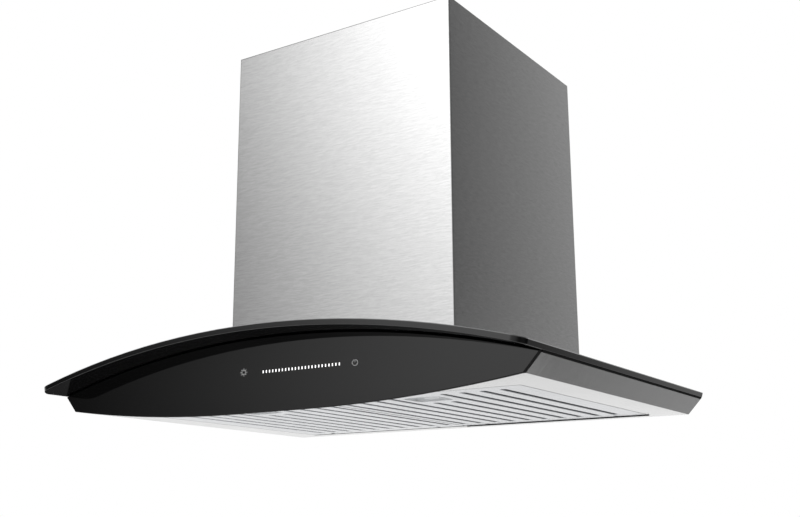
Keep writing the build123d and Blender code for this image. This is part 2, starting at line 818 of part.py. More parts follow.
# Impeller: forward-curved blades either side of a disc, tied by end rings
blade_reach = scroll_width / 2 - impeller_side_gap
blade_tip = (
    impeller_radius * cos(radians(blade_sweep)),
    impeller_radius * sin(radians(blade_sweep)),
)
blade_root = (blade_inner_radius, 0)
blade_bow = (
    (blade_root[0] + blade_tip[0]) / 2 + blade_bulge * sin(radians(blade_sweep)),
    (blade_root[1] + blade_tip[1]) / 2 - blade_bulge,
)
with BuildSketch() as blade:
    with BuildLine():
        ThreePointArc(blade_root, blade_bow, blade_tip)
    trace(line_width=blade_thickness)
with BuildPart() as impeller:
    with BuildSketch(fan_plane):
        with PolarLocations(0, blade_count):
            add(blade.sketch)
    extrude(amount=blade_reach, both=True)
    with BuildSketch(fan_plane):
        Circle(impeller_radius)
    extrude(amount=impeller_disc_thickness / 2, both=True)
    for end in (-blade_reach, blade_reach - impeller_ring_width):
        with BuildSketch(fan_plane.offset(end)):
            Circle(impeller_radius)
            Circle(blade_inner_radius + impeller_ring_width, mode=Mode.SUBTRACT)
        extrude(amount=impeller_ring_width)
    with BuildSketch(fan_plane):
        Circle(hub_radius)
    extrude(amount=hub_length / 2, both=True)
    with BuildSketch(fan_plane):
        Circle(shaft_radius)
    extrude(amount=hub_length, both=True, mode=Mode.SUBTRACT)
save(impeller.part, "impeller")

with BuildPart() as shaft:
    with BuildSketch(fan_plane.offset(motor_left_x + motor_fillet)):
        Circle(shaft_radius)
    extrude(amount=hub_length / 2 - motor_left_x - motor_fillet)
save(shaft.part, "motor_shaft")

# Motor, held in the left inlet by a three-armed carrier
with BuildPart() as motor:
    with BuildSketch(fan_plane.offset(motor_left_x)):
        Circle(motor_radius)
    extrude(amount=motor_length)
    ends = motor.edges().filter_by(GeomType.CIRCLE)
    fillet(ends, radius=motor_fillet)
    with BuildSketch(fan_plane.offset(motor_right_x)):
        Circle(shaft_radius + shaft_running_gap)
    extrude(amount=-motor_length + motor_fillet, mode=Mode.SUBTRACT)
save(motor.part, "motor")

with BuildPart() as carrier:
    with BuildSketch(fan_plane.offset(carrier_left_x)):
        with PolarLocations(0, carrier_arms, start_angle=90):
            Rectangle(carrier_reach, carrier_arm_width, align=(Align.MIN, Align.CENTER))
        Circle(motor_radius + carrier_ring)
        Circle(motor_radius, mode=Mode.SUBTRACT)
    extrude(amount=carrier_thickness)
    with BuildSketch(fan_plane.offset(carrier_left_x)):
        with PolarLocations(carrier_reach - carrier_foot / 2, carrier_arms, start_angle=90):
            Rectangle(carrier_foot, carrier_arm_width)
    extrude(amount=-scroll_side_x - carrier_left_x)
save(carrier.part, "motor_carrier")

# Run capacitor and its clip on the box's back wall
capacitor_y = -sheet - capacitor_gap - capacitor_radius
with BuildPart() as capacitor:
    with BuildSketch(Plane.XY.offset(capacitor_z - capacitor_length / 2)):
        with Locations((capacitor_x, capacitor_y)):
            Circle(capacitor_radius)
    extrude(amount=capacitor_length)
    fillet(capacitor.edges().filter_by(GeomType.CIRCLE), radius=capacitor_clip_sheet)
save(capacitor.part, "capacitor")

clip_radius = capacitor_radius + capacitor_gap
clip_span = 2 * (clip_radius + capacitor_clip_ear)
with BuildPart() as capacitor_clip:
    with BuildSketch(Plane.XY.offset(capacitor_z - capacitor_clip_width / 2)):
        with Locations((capacitor_x, capacitor_y)):
            Circle(clip_radius + capacitor_clip_sheet)
        with Locations((capacitor_x, -sheet)):
            Rectangle(clip_span, capacitor_clip_sheet, align=(Align.CENTER, Align.MAX))
            Rectangle(
                clip_span,
                clip_radius,
                align=(Align.CENTER, Align.MIN),
                mode=Mode.SUBTRACT,
            )
            Rectangle(
                capacitor_clip_mouth,
                clip_radius,
                align=(Align.CENTER, Align.MAX),
                mode=Mode.SUBTRACT,
            )
        with Locations((capacitor_x, capacitor_y)):
            Circle(clip_radius, mode=Mode.SUBTRACT)
    extrude(amount=capacitor_clip_width)
save(capacitor_clip.part, "capacitor_clip")

# Outlet collar, with a stop ring for the flaps and a pin across it
stop_top_z = flap_pin_z - flap_thickness / 2 - flap_stop_gap
with BuildPart() as collar:
    with BuildSketch(Plane.XY.offset(box_top)):
        with Locations((0, outlet_y)):
            Circle(collar_radius)
    extrude(amount=collar_height)
    with BuildSketch(Plane.XY.offset(box_top)):
        with Locations((0, outlet_y)):
            Circle(collar_radius + collar_flange_width)
    extrude(amount=collar_flange_thickness)
    with BuildSketch(Plane.XY.offset(box_top)):
        with Locations((0, outlet_y)):
            Circle(collar_inner_radius)
    extrude(amount=collar_height, mode=Mode.SUBTRACT)
    with BuildSketch(Plane.XY.offset(stop_top_z)):
        with Locations((0, outlet_y)):
            Circle(collar_inner_radius)
            Circle(collar_inner_radius - flap_stop_width, mode=Mode.SUBTRACT)
    extrude(amount=-flap_stop_thickness)
    with BuildSketch(Plane.YZ):
        with Locations((outlet_y, flap_pin_z)):
            Circle(flap_pin_radius)
    extrude(amount=collar_radius, both=True, mode=Mode.SUBTRACT)
save(collar.part, "outlet_collar")

with BuildPart() as flap_pin:
    with BuildSketch(Plane.YZ):
        with Locations((outlet_y, flap_pin_z)):
            Circle(flap_pin_radius)
    extrude(amount=collar_radius, both=True)
save(flap_pin.part, "flap_pin")

# Two half-round flaps, with knuckles that alternate along the pin
knuckle_pitch = flap_knuckle_span / flap_knuckle_count
knuckle_length = knuckle_pitch - flap_knuckle_gap
for turn, (side, sign) in enumerate((("front", -1), ("rear", 1))):
    knuckle_starts = [
        -flap_knuckle_span / 2 + flap_knuckle_gap / 2 + i * knuckle_pitch
        for i in range(turn, flap_knuckle_count, 2)
    ]
    with BuildPart() as flap:
        with BuildSketch(Plane.XY.offset(flap_pin_z - flap_thickness / 2)):
            with Locations((0, outlet_y)):
                Circle(collar_inner_radius - flap_edge_gap)
            with Locations((0, outlet_y + sign * (flap_pin_gap + collar_radius))):
                Rectangle(2 * collar_radius, 2 * collar_radius, mode=Mode.INTERSECT)
            for start in knuckle_starts:
                with Locations((start, outlet_y + sign * flap_pin_gap / 2)):
                    Rectangle(
                        knuckle_length,
                        flap_pin_gap + flap_thickness,
                        align=(Align.MIN, Align.CENTER),
                    )
        extrude(amount=flap_thickness)
        for start in knuckle_starts:
            with BuildSketch(Plane.YZ.offset(start)):
                with Locations((outlet_y, flap_pin_z)):
                    Circle(flap_knuckle_radius)
            extrude(amount=knuckle_length)
        with BuildSketch(Plane.YZ):
            with Locations((outlet_y, flap_pin_z)):
                Circle(flap_pin_radius + flap_running_gap)
        extrude(amount=collar_radius, both=True, mode=Mode.SUBTRACT)
    save(flap.part, f"flap_{side}")

# Terminal box on top of the motor box, with its lid and an empty cable gland
terminal_x = box_half - terminal_side_margin - terminal_width / 2
terminal_y = -terminal_rear_margin - terminal_depth / 2
terminal_top = box_top + terminal_height
with BuildPart() as terminal_box:
    with BuildSketch(Plane.XY.offset(box_top)):
        with Locations((terminal_x, terminal_y)):
            RectangleRounded(terminal_width, terminal_depth, 2 * terminal_wall)
    extrude(amount=terminal_height)
    offset(amount=-terminal_wall, openings=terminal_box.faces().sort_by(Axis.Z)[-1])
save(terminal_box.part, "terminal_box")

with BuildPart() as terminal_lid:
    with BuildSketch(Plane.XY.offset(terminal_top)):
        with Locations((terminal_x, terminal_y)):
            RectangleRounded(terminal_width, terminal_depth, 2 * terminal_wall)
            Circle(gland_radius, mode=Mode.SUBTRACT)
    extrude(amount=terminal_lid_thickness)
save(terminal_lid.part, "terminal_lid")

with BuildPart() as gland:
    with BuildSketch(Plane.XY.offset(terminal_top)):
        with Locations((terminal_x, terminal_y)):
            Circle(gland_radius)
    extrude(amount=gland_height)
    with BuildSketch(Plane.XY.offset(terminal_top + terminal_lid_thickness)):
        with Locations((terminal_x, terminal_y)):
            RegularPolygon(gland_nut_radius, 6)
    extrude(amount=gland_nut_height)
    with BuildSketch(Plane.XY.offset(terminal_top)):
        with Locations((terminal_x, terminal_y)):
            Circle(gland_bore_radius)
    extrude(amount=gland_height, mode=Mode.SUBTRACT)
save(gland.part, "cable_gland")

# Chimney: a fixed lower cover that stands on the glass, and an upper one that slides inside it
with BuildPart() as lower_chimney:
    with BuildSketch():
        with Locations((0, -chimney_depth / 2)):
            RectangleRounded(chimney_width, chimney_depth, chimney_bend_radius)
            RectangleRounded(
                chimney_width - 2 * chimney_sheet,
                chimney_depth - 2 * chimney_sheet,
                chimney_bend_radius - chimney_sheet,
                mode=Mode.SUBTRACT,
            )
        Rectangle(chimney_width - 2 * chimney_return, 2 * chimney_return, mode=Mode.SUBTRACT)
    extrude(amount=chimney_top)
    with BuildSketch(Plane.XZ):
        with Locations((0, arch_z)):
            Circle(glass_top_radius)
    extrude(amount=chimney_depth, mode=Mode.SUBTRACT)
save(lower_chimney.part, "lower_chimney")

with BuildPart() as upper_chimney:
    with BuildSketch(Plane.XY.offset(upper_top - upper_length)):
        with Locations((0, upper_rear_y - upper_depth / 2)):
            RectangleRounded(upper_width, upper_depth, chimney_bend_radius)
            RectangleRounded(
                upper_width - 2 * chimney_sheet,
                upper_depth - 2 * chimney_sheet,
                chimney_bend_radius - chimney_sheet,
                mode=Mode.SUBTRACT,
            )
        with Locations((0, upper_rear_y)):
            Rectangle(upper_width - 2 * chimney_return, 2 * chimney_return, mode=Mode.SUBTRACT)
    extrude(amount=upper_length)
save(upper_chimney.part, "upper_chimney")

# Bracket that fixes the upper chimney to the wall, stepped past the chimney's returns
tab_x = upper_width / 2 - chimney_sheet - bracket_gap - bracket_sheet / 2
strip_front_y = upper_rear_y - chimney_sheet - bracket_gap - bracket_sheet / 2
strip_wall_x = upper_width / 2 - chimney_return - bracket_joggle / 2
bracket_mid_z = upper_top - bracket_drop - bracket_height / 2
with BuildPart() as bracket:
    with BuildSketch(Plane.XY.offset(bracket_mid_z - bracket_height / 2)):
        with BuildLine():
            Polyline(
                (-tab_x, strip_front_y - bracket_tab),
                (-tab_x, strip_front_y),
                (-strip_wall_x, strip_front_y),
                (-strip_wall_x + bracket_joggle, -bracket_sheet / 2),
                (strip_wall_x - bracket_joggle, -bracket_sheet / 2),
                (strip_wall_x, strip_front_y),
                (tab_x, strip_front_y),
                (tab_x, strip_front_y - bracket_tab),
            )
        trace(line_width=bracket_sheet)
    extrude(amount=bracket_height)
    with BuildSketch(Plane.XZ):
        with Locations((0, bracket_mid_z)):
            with GridLocations(bracket_hole_spacing, 0, 2, 1):
                Circle(bracket_hole_radius)
    extrude(amount=2 * bracket_sheet, mode=Mode.SUBTRACT)
save(bracket.part, "chimney_bracket")
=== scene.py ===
"""Looks of the wall-mounted chimney hood: finishes, printed marks, lamp lenses, screws, studio.

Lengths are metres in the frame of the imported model: x to the right, y = 0 on the wall with
the front at negative y, z = 0 on the underside of the steel tray.
"""

import logging
import math
from dataclasses import dataclass, field
from enum import Enum
from typing import Any, Mapping, Optional, Sequence, Union

import bpy
import numpy as np
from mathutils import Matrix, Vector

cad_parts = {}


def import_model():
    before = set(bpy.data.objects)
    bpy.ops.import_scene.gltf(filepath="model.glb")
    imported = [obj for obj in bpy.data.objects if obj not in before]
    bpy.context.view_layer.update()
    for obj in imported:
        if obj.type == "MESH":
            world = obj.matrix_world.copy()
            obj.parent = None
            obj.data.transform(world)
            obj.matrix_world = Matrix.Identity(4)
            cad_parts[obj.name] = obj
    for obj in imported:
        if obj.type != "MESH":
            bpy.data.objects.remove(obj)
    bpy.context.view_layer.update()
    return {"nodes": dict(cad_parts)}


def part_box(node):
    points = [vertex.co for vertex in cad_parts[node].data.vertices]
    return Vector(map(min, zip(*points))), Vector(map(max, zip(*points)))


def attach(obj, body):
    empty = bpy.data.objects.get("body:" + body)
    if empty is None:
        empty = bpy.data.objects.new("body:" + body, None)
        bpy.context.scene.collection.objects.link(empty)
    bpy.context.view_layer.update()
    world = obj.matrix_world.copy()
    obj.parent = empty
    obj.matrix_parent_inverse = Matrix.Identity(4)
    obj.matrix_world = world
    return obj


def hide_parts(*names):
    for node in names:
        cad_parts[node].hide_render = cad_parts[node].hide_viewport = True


LOG = logging.getLogger("hood")
MM = 0.001
SHARP_ANGLE = math.radians(35)
Colour = tuple[float, float, float]
Cycles = tuple[float, float, float]
Edge = tuple[float, float]
Number = Union["Wire", float]


def even(value: float) -> tuple[float, float, float]:
    """The same value three times: a grey, or noise that has no direction."""
    return (value, value, value)


class Body(Enum):
    """Moving bodies of the hood that new pieces ride on."""

    HOOD = "hood"
    LEFT_LATCH = "left_latch"
    RIGHT_LATCH = "right_latch"
    UPPER_CHIMNEY = "upper_chimney"


class Grain(Enum):
    """Direction of a brushed grain, as noise cycles per metre along x, y and z."""

    LEVEL = (74.0, 74.0, 780.0)
    UPRIGHT = (55.0, 430.0, 55.0)
    ALONG_SLOTS = (430.0, 55.0, 55.0)


class Wire:
    """One output of a shader node, with operators that add Math nodes."""

    def __init__(self, graph: "Graph", socket: bpy.types.NodeSocket) -> None:
        """Hold the socket and the graph that it belongs to."""
        self.graph = graph
        self.socket = socket

    def __add__(self, other: Number) -> "Wire":
        """Sum."""
        return self.graph.math("ADD", self, other)

    def __radd__(self, other: float) -> "Wire":
        """Sum with a number on the left."""
        return self.graph.math("ADD", other, self)

    def __sub__(self, other: Number) -> "Wire":
        """Difference."""
        return self.graph.math("SUBTRACT", self, other)

    def __rsub__(self, other: float) -> "Wire":
        """Difference from a number on the left."""
        return self.graph.math("SUBTRACT", other, self)

    def __mul__(self, other: Number) -> "Wire":
        """Product."""
        return self.graph.math("MULTIPLY", self, other)

    def __rmul__(self, other: float) -> "Wire":
        """Product with a number on the left."""
        return self.graph.math("MULTIPLY", other, self)

    def __pow__(self, other: Number) -> "Wire":
        """Power."""
        return self.graph.math("POWER", self, other)

    def __lt__(self, other: Number) -> "Wire":
        """1 where the value is lower, 0 elsewhere."""
        return self.graph.math("LESS_THAN", self, other)

    def __gt__(self, other: Number) -> "Wire":
        """1 where the value is higher, 0 elsewhere."""
        return self.graph.math("GREATER_THAN", self, other)

    def __neg__(self) -> "Wire":
        """The value with its sign turned."""
        return self.graph.math("MULTIPLY", self, -1.0)

    def __abs__(self) -> "Wire":
        """The value without its sign."""
        return self.graph.math("ABSOLUTE", self)

    def step(self, low: float, high: float) -> "Wire":
        """A smooth step: 0 below the low limit, 1 above the high one."""
        made = self.graph.node(
            "ShaderNodeMapRange",
            {"interpolation_type": "SMOOTHSTEP"},
            {"Value": self, "From Min": low, "From Max": high},
        )
        return self.graph.wire(made, "Result")

    def band(self, rise: Edge, fall: Edge) -> "Wire":
        """1 between two soft edges and 0 outside them."""
        return self.step(*rise) * (1.0 - self.step(*fall))


class Graph:
    """A node tree that is being drawn, for a material or for the world."""

    def __init__(self, tree: bpy.types.NodeTree) -> None:
        """Start from an empty tree."""
        self.tree = tree
        tree.nodes.clear()

    def node(
        self,
        kind: str,
        settings: Optional[Mapping[str, Any]] = None,
        inputs: Optional[Mapping[Any, Any]] = None,
    ) -> bpy.types.Node:
        """Add a node.

        Args:
            kind: Blender's type name of the node.
            settings: properties that are set first, such as a Math node's operation.
            inputs: values or wires for the sockets, by name or number.

        Returns:
            The new node.
        """
        made = self.tree.nodes.new(kind)
        for key, value in (settings or {}).items():
            setattr(made, key, value)
        for key, value in (inputs or {}).items():
            if isinstance(value, Wire):
                self.tree.links.new(value.socket, made.inputs[key])
            else:
                made.inputs[key].default_value = value
        return made

    def wire(self, node: bpy.types.Node, output: Union[int, str] = 0) -> Wire:
        """Wrap one output of a node."""
        return Wire(self, node.outputs[output])

    def math(self, operation: str, first: Number, second: Number = 0.0) -> Wire:
        """Add one Math node and return its result."""
        made = self.node("ShaderNodeMath", {"operation": operation}, {0: first, 1: second})
        return self.wire(made)

    def split(self, vector: Wire) -> tuple[Wire, Wire, Wire]:
        """The three parts of a vector."""
        made = self.node("ShaderNodeSeparateXYZ", inputs={"Vector": vector})
        return self.wire(made, 0), self.wire(made, 1), self.wire(made, 2)

    def object_point(self) -> Wire:
        """The shaded point in the object's own coordinates, in metres."""
        return self.wire(self.node("ShaderNodeTexCoord"), "Object")

    def noise(self, cycles: Sequence[float], detail: float = 2.0, rough: float = 0.5) -> Wire:
        """Smooth noise from 0 to 1.

        Args:
            cycles: cycles per metre along x, y and z.
            detail: octaves of finer noise.
            rough: how strong each finer octave is.

        Returns:
            The noise value.
        """
        place = self.node(
            "ShaderNodeMapping", inputs={"Vector": self.object_point(), "Scale": tuple(cycles)}
        )
        made = self.node(
            "ShaderNodeTexNoise",
            inputs={
                "Vector": self.wire(place),
                "Scale": 1.0,
                "Detail": detail,
                "Roughness": rough,
            },
        )
        return self.wire(made, 0)

    def blend(self, share: Number, first: Any, second: Any) -> Wire:
        """Mix two colours, each a wire or three numbers.

        Args:
            share: the second colour's share, from 0 to 1.
            first: the colour at 0.
            second: the colour at 1.

        Returns:
            The mixed colour.
        """
        colours = [c if isinstance(c, Wire) else (*c, 1.0) for c in (first, second)]
        made = self.node(
            "ShaderNodeMix",
            {"data_type": "RGBA"},
            {"Factor": share, 6: colours[0], 7: colours[1]},
        )
        return self.wire(made, 2)

    def bump(self, height: Wire, depth: float) -> Wire:
        """A normal that is tilted by a height from 0 to 1, with depth in metres."""
        return self.wire(self.node("ShaderNodeBump", inputs={"Height": height, "Distance": depth}))

    def surface(self, inputs: Mapping[str, Any]) -> None:
        """Add the Principled shader and the output that it feeds."""
        shader = self.node("ShaderNodeBsdfPrincipled", inputs=inputs)
        self.node("ShaderNodeOutputMaterial", inputs={"Surface": self.wire(shader)})

    def two_surfaces(
        self, share: Wire, first: Mapping[str, Any], second: Mapping[str, Any]
    ) -> None:
        """Feed the output with two Principled shaders.

        Args:
            share: 0 where the first shows, 1 where the second does.
            first: sockets of the first shader.
            second: sockets of the second shader.
        """
        low = self.node("ShaderNodeBsdfPrincipled", inputs=first)
        high = self.node("ShaderNodeBsdfPrincipled", inputs=second)
        mixed = self.node(
            "ShaderNodeMixShader", inputs={0: share, 1: self.wire(low), 2: self.wire(high)}
        )
        self.node("ShaderNodeOutputMaterial", inputs={"Surface": self.wire(mixed)})


def new_material(name: str) -> tuple[bpy.types.Material, Graph]:
    """Start a material.

    Args:
        name: the finish's name.

    Returns:
        The material with an empty node tree, and the graph that fills it.
    """
    material = bpy.data.materials.new("finish_" + name)
    material.use_nodes = True
    return material, Graph(material.node_tree)


MADE: dict[str, bpy.types.Material] = {}


@dataclass(frozen=True)
class Finish:
    """A finish that shader nodes draw."""

    name: str

    def material(self) -> bpy.types.Material:
        """The finish's material, made once."""
        if self.name not in MADE:
            MADE[self.name], graph = new_material(self.name)
            self.draw(graph)
        return MADE[self.name]

    def draw(self, graph: Graph) -> None:
        """Fill the material's graph; each finish has its own way."""
        raise NotImplementedError


@dataclass(frozen=True)
class BrushedSteel(Finish):
    """Stainless sheet with a brushed grain: streaks change colour, gloss and the normal; masks
    paint shade.
    """

    light: Colour
    dark: Colour
    grain: Grain
    roughness: float
    gloss_range: float = 0.06
    groove: float = 0.004 * MM
    # Painted shade: half width, front and rear of a box whose edges above the face are darkened.
    painted_shade_box: Optional[tuple[float, float, float]] = None
    painted_shade_inside: bool = True
    # Painted shade: depth and height of a thin dark line along the sheet's top front edge.
    painted_edge_line: Optional[tuple[float, float]] = None
    fine_ratio: float = 2.6
    fine_share: float = 0.4
    streak_edge: Edge = (0.28, 0.72)
    cloud_cycles: float = 9.0
    cloud_range: float = 0.05
    # Colours of the painted shade on the box's edges and of the painted dark line on the top edge.
    painted_shade_colour: Colour = even(0.10)
    painted_line_colour: Colour = even(0.19)
    face_skin: float = 0.05 * MM

    def draw(self, graph: Graph) -> None:
        """Streaks are noise that is long along the grain; clouds change the sheen slowly."""
        coarse = graph.noise(self.grain.value, detail=3.0, rough=0.65)
        fine_cycles = [self.fine_ratio * cycles for cycles in self.grain.value]
        fine = graph.noise(fine_cycles, detail=2.0, rough=0.7)
        clouds = graph.noise(even(self.cloud_cycles))
        streak = coarse * (1.0 - self.fine_share) + fine * self.fine_share
        colour = graph.blend(streak.step(*self.streak_edge), self.dark, self.light)
        # Painted shade: darken the box's edges, then the thin line along the top front edge.
        if self.painted_shade_box:
            colour = graph.blend(self.on_painted_shade_box(graph), colour, self.painted_shade_colour)
        if self.painted_edge_line:
            colour = graph.blend(self.on_painted_edge_line(graph), colour, self.painted_line_colour)
        graph.surface(
            {
                "Base Color": colour,
                "Metallic": 1.0,
                "Roughness": self.roughness
                + (streak - 0.5) * self.gloss_range
                + (clouds - 0.5) * self.cloud_range,
                "Normal": graph.bump(streak, self.groove),
            }
        )

    def on_painted_edge_line(self, graph: Graph) -> Wire:
        """Find the thin line along the top front edge where shade is painted.

        Args:
            graph: the material's graph.

        Returns:
            1 in front of the edge's depth and above its height, 0 elsewhere.
        """
        depth, height = self.painted_edge_line
        _, y, z = graph.split(graph.object_point())
        return (y < depth) * (z > height)

    def on_painted_shade_box(self, graph: Graph) -> Wire:
        """Find the edges where shade is painted: an opening's inner lip, or a plate's side walls.

        Args:
            graph: the material's graph.

        Returns:
            1 above the face and inside, or outside, the box of half width, front and rear.
        """
        half_width, front, rear = self.painted_shade_box
        x, y, z = graph.split(graph.object_point())
        inside = (abs(x) < half_width) * (y < rear) * (y > front)
        share = inside if self.painted_shade_inside else 1.0 - inside
        return share * (z > self.face_skin)


@dataclass(frozen=True)
class ZincSheet(Finish):
    """Galvanised sheet with a faint crystal spangle."""

    light: Colour = (0.56, 0.57, 0.58)
    dark: Colour = (0.40, 0.41, 0.42)
    spangle_cycles: float = 140.0
    grit_cycles: float = 900.0
    grit_share: float = 0.35
    grit_depth: float = 0.01 * MM
    roughness: float = 0.34
    gloss_range: float = 0.14

    def draw(self, graph: Graph) -> None:
        """Spangle is a cell pattern with cells of about 7 mm, broken by noise."""
        place = graph.node(
            "ShaderNodeMapping",
            inputs={"Vector": graph.object_point(), "Scale": even(self.spangle_cycles)},
        )
        cells = graph.node(
            "ShaderNodeTexVoronoi", inputs={"Vector": graph.wire(place), "Scale": 1.0}
        )
        crystal, _, _ = graph.split(graph.wire(cells, "Color"))
        grit = graph.noise(even(self.grit_cycles), detail=3.0)
        share = crystal * (1.0 - self.grit_share) + grit * self.grit_share
        graph.surface(
            {
                "Base Color": graph.blend(share, self.dark, self.light),
                "Metallic": 1.0,
                "Roughness": self.roughness + crystal * self.gloss_range,
                "Normal": graph.bump(grit, self.grit_depth),
            }
        )


@dataclass(frozen=True)
class CanopyGlass(Finish):
    """Black glass, polished above and on its edges, with black enamel fired on its underside."""

    arch_height: float
    under_radius: float
    colour: Colour = (0.0010, 0.0010, 0.0012)
    enamel: Colour = (0.0022, 0.0022, 0.0024)
    polish: float = 0.012
    wipe_edge: Edge = (0.35, 0.8)
    ior: float = 1.6
    enamel_polish: float = 0.02
    enamel_ior: float = 1.10
    enamel_depth: float = 0.0004 * MM
    gloss_range: float = 0.03
    wipe_cycles: Cycles = (7.0, 3.0, 7.0)
    grit_cycles: float = 2600.0

    def draw(self, graph: Graph) -> None:
        """The underside is where the distance from the arch's axis is near its inner radius."""
        x, _, z = graph.split(graph.object_point())
        height = z - self.arch_height
        from_axis = (x * x + height * height) ** 0.5
        under = from_axis < self.under_radius
        wipe = graph.noise(self.wipe_cycles, detail=3.0, rough=0.6)
        grit = graph.noise(even(self.grit_cycles))
        wiped = wipe.step(*self.wipe_edge)
        graph.two_surfaces(
            under,
            {
                "Base Color": (*self.colour, 1.0),
                "Roughness": self.polish + wiped * self.gloss_range,
                "IOR": self.ior,
            },
            {
                "Base Color": (*self.enamel, 1.0),
                "Roughness": self.enamel_polish + grit * self.gloss_range,
                "IOR": self.enamel_ior,
                "Normal": graph.bump(grit, self.enamel_depth),
            },
        )


@dataclass(frozen=True)
class PanelGlass(Finish):
    """Flat black glass of the control panel, wiped in front and ground dull on its edges."""

    node: str
    colour: Colour = (0.0012, 0.0012, 0.0013)
    dust_colour: Colour = (0.004, 0.004, 0.0045)
    speck_edge: Edge = (0.70, 0.78)
    polish: float = 0.02
    wipe_edge: Edge = (0.3, 0.8)
    wipe_range: float = 0.03
    dust_range: float = 0.1
    ior: float = 1.5
    edge_colour: Colour = even(0.016)
    edge_depth: float = 0.05 * MM
    edge_roughness: float = 0.35
    edge_range: float = 0.2
    edge_ior: float = 1.08
    wipe_cycles: Cycles = (5.0, 5.0, 22.0)
    dust_cycles: float = 1400.0

    def draw(self, graph: Graph) -> None:
        """Wipe marks are long level noise that dulls the polish; edges lie behind the face."""
        wipe = graph.noise(self.wipe_cycles, detail=3.0, rough=0.6)
        dust = graph.noise(even(self.dust_cycles), detail=1.0)
        speck = dust.step(*self.speck_edge)
        wiped = wipe.step(*self.wipe_edge)
        _, y, _ = graph.split(graph.object_point())
        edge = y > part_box(self.node)[0].y + self.edge_depth
        graph.two_surfaces(
            edge,
            {
                "Base Color": graph.blend(speck, self.colour, self.dust_colour),
                "Roughness": self.polish + wiped * self.wipe_range + speck * self.dust_range,
                "IOR": self.ior,
            },
            {
                "Base Color": (*self.edge_colour, 1.0),
                "Roughness": self.edge_roughness + dust * self.edge_range,
                "IOR": self.edge_ior,
            },
        )


@dataclass(frozen=True)
class MouldedPlastic(Finish):
    """Moulded plastic with a fine spark-eroded texture."""

    colour: Colour
    shade: Colour
    roughness: float = 0.45
    texture: float = 0.03 * MM
    ior: float = 1.5
    gloss_range: float = 0.15
    flow_edge: Edge = (0.3, 0.7)
    flow_cycles: Cycles = (14.0, 14.0, 40.0)
    grit_cycles: float = 1800.0

    def draw(self, graph: Graph) -> None:
        """Texture is fine even noise; broad noise shifts the colour as flow marks do."""
        grit = graph.noise(even(self.grit_cycles))
        flow = graph.noise(self.flow_cycles, detail=3.0)
        tone = flow.step(*self.flow_edge)
        graph.surface(
            {
                "Base Color": graph.blend(tone, self.shade, self.colour),
                "Roughness": self.roughness + (grit - 0.5) * self.gloss_range,
                "IOR": self.ior,
                "Normal": graph.bump(grit, self.texture),
            }
        )


@dataclass(frozen=True)
class PlainMetal(Finish):
    """Plated, cast or spring metal with fine machining lines along one direction."""

    colour: Colour
    shade: Colour
    roughness: float
    lines: Cycles
    groove: float = 0.01 * MM
    gloss_range: float = 0.12
    line_edge: Edge = (0.3, 0.7)

    def draw(self, graph: Graph) -> None:
        """Machining lines are noise stretched across the given direction."""
        lines = graph.noise(self.lines, detail=3.0, rough=0.6)
        tone = lines.step(*self.line_edge)
        graph.surface(
            {
                "Base Color": graph.blend(tone, self.shade, self.colour),
                "Metallic": 1.0,
                "Roughness": self.roughness + (lines - 0.5) * self.gloss_range,
                "Normal": graph.bump(lines, self.groove),
            }
        )


@dataclass(frozen=True)
class CircuitBoard(Finish):
    """Green solder mask over copper tracks."""

    mask: Colour = (0.010, 0.055, 0.025)
    track: Colour = (0.030, 0.13, 0.055)
    track_cycles: float = 160.0
    track_gap: float = 0.05
    track_depth: float = 0.04 * MM
    roughness: float = 0.32
    gloss_range: float = 0.08

    def draw(self, graph: Graph) -> None:
        """Tracks are bricks of noise with straight edges."""
        place = graph.node(
            "ShaderNodeMapping",
            inputs={"Vector": graph.object_point(), "Rotation": (math.pi / 2, 0.0, 0.0)},
        )
        bricks = graph.node(
            "ShaderNodeTexBrick",
            inputs={
                "Vector": graph.wire(place),
                "Scale": self.track_cycles,
                "Mortar Size": self.track_gap,
            },
        )
        tracks = graph.wire(bricks, "Fac")
        graph.surface(
            {
                "Base Color": graph.blend(tracks, self.mask, self.track),
                "Roughness": self.roughness - tracks * self.gloss_range,
                "Normal": graph.bump(tracks, self.track_depth),
            }
        )


@dataclass(frozen=True)
class FrostedLens(Finish):
    """Frosted clear plastic of a lamp lens, seen unlit."""

    colour: Colour = (0.80, 0.80, 0.78)
    frost_colour: Colour = (0.90, 0.90, 0.89)
    frost_cycles: float = 3000.0
    frost_depth: float = 0.02 * MM
    roughness: float = 0.28
    gloss_range: float = 0.2
    clearness: float = 0.25
    coat: float = 0.4

    def draw(self, graph: Graph) -> None:
        """Frost is very fine noise on the gloss and the normal."""
        frost = graph.noise(even(self.frost_cycles))
        graph.surface(
            {
                "Base Color": graph.blend(frost, self.colour, self.frost_colour),
                "Roughness": self.roughness + frost * self.gloss_range,
                "Normal": graph.bump(frost, self.frost_depth),
                "Transmission Weight": self.clearness,
                "Coat Weight": self.coat,
            }
        )


@dataclass(frozen=True)
class PrintedMark(Finish):
    """White ceramic print with a little painted glow, so that it reads brighter than the light on
    it makes it.
    """

    colour: Colour
    glow: float
    thin_share: float = 0.92
    grain_cycles: float = 2400.0
    roughness: float = 0.4
    gloss_range: float = 0.15

    def draw(self, graph: Graph) -> None:
        """The print's grain is fine noise on its colour."""
        grain = graph.noise(even(self.grain_cycles), detail=1.0)
        thin = tuple(self.thin_share * part for part in self.colour)
        ink = graph.blend(grain, thin, self.colour)
        graph.surface(
            {
                "Base Color": ink,
                # Painted glow: the print gives off light of its own colour, though it is no lamp.
                "Emission Color": ink,
                "Emission Strength": self.glow,
                "Roughness": self.roughness + grain * self.gloss_range,
            }
        )


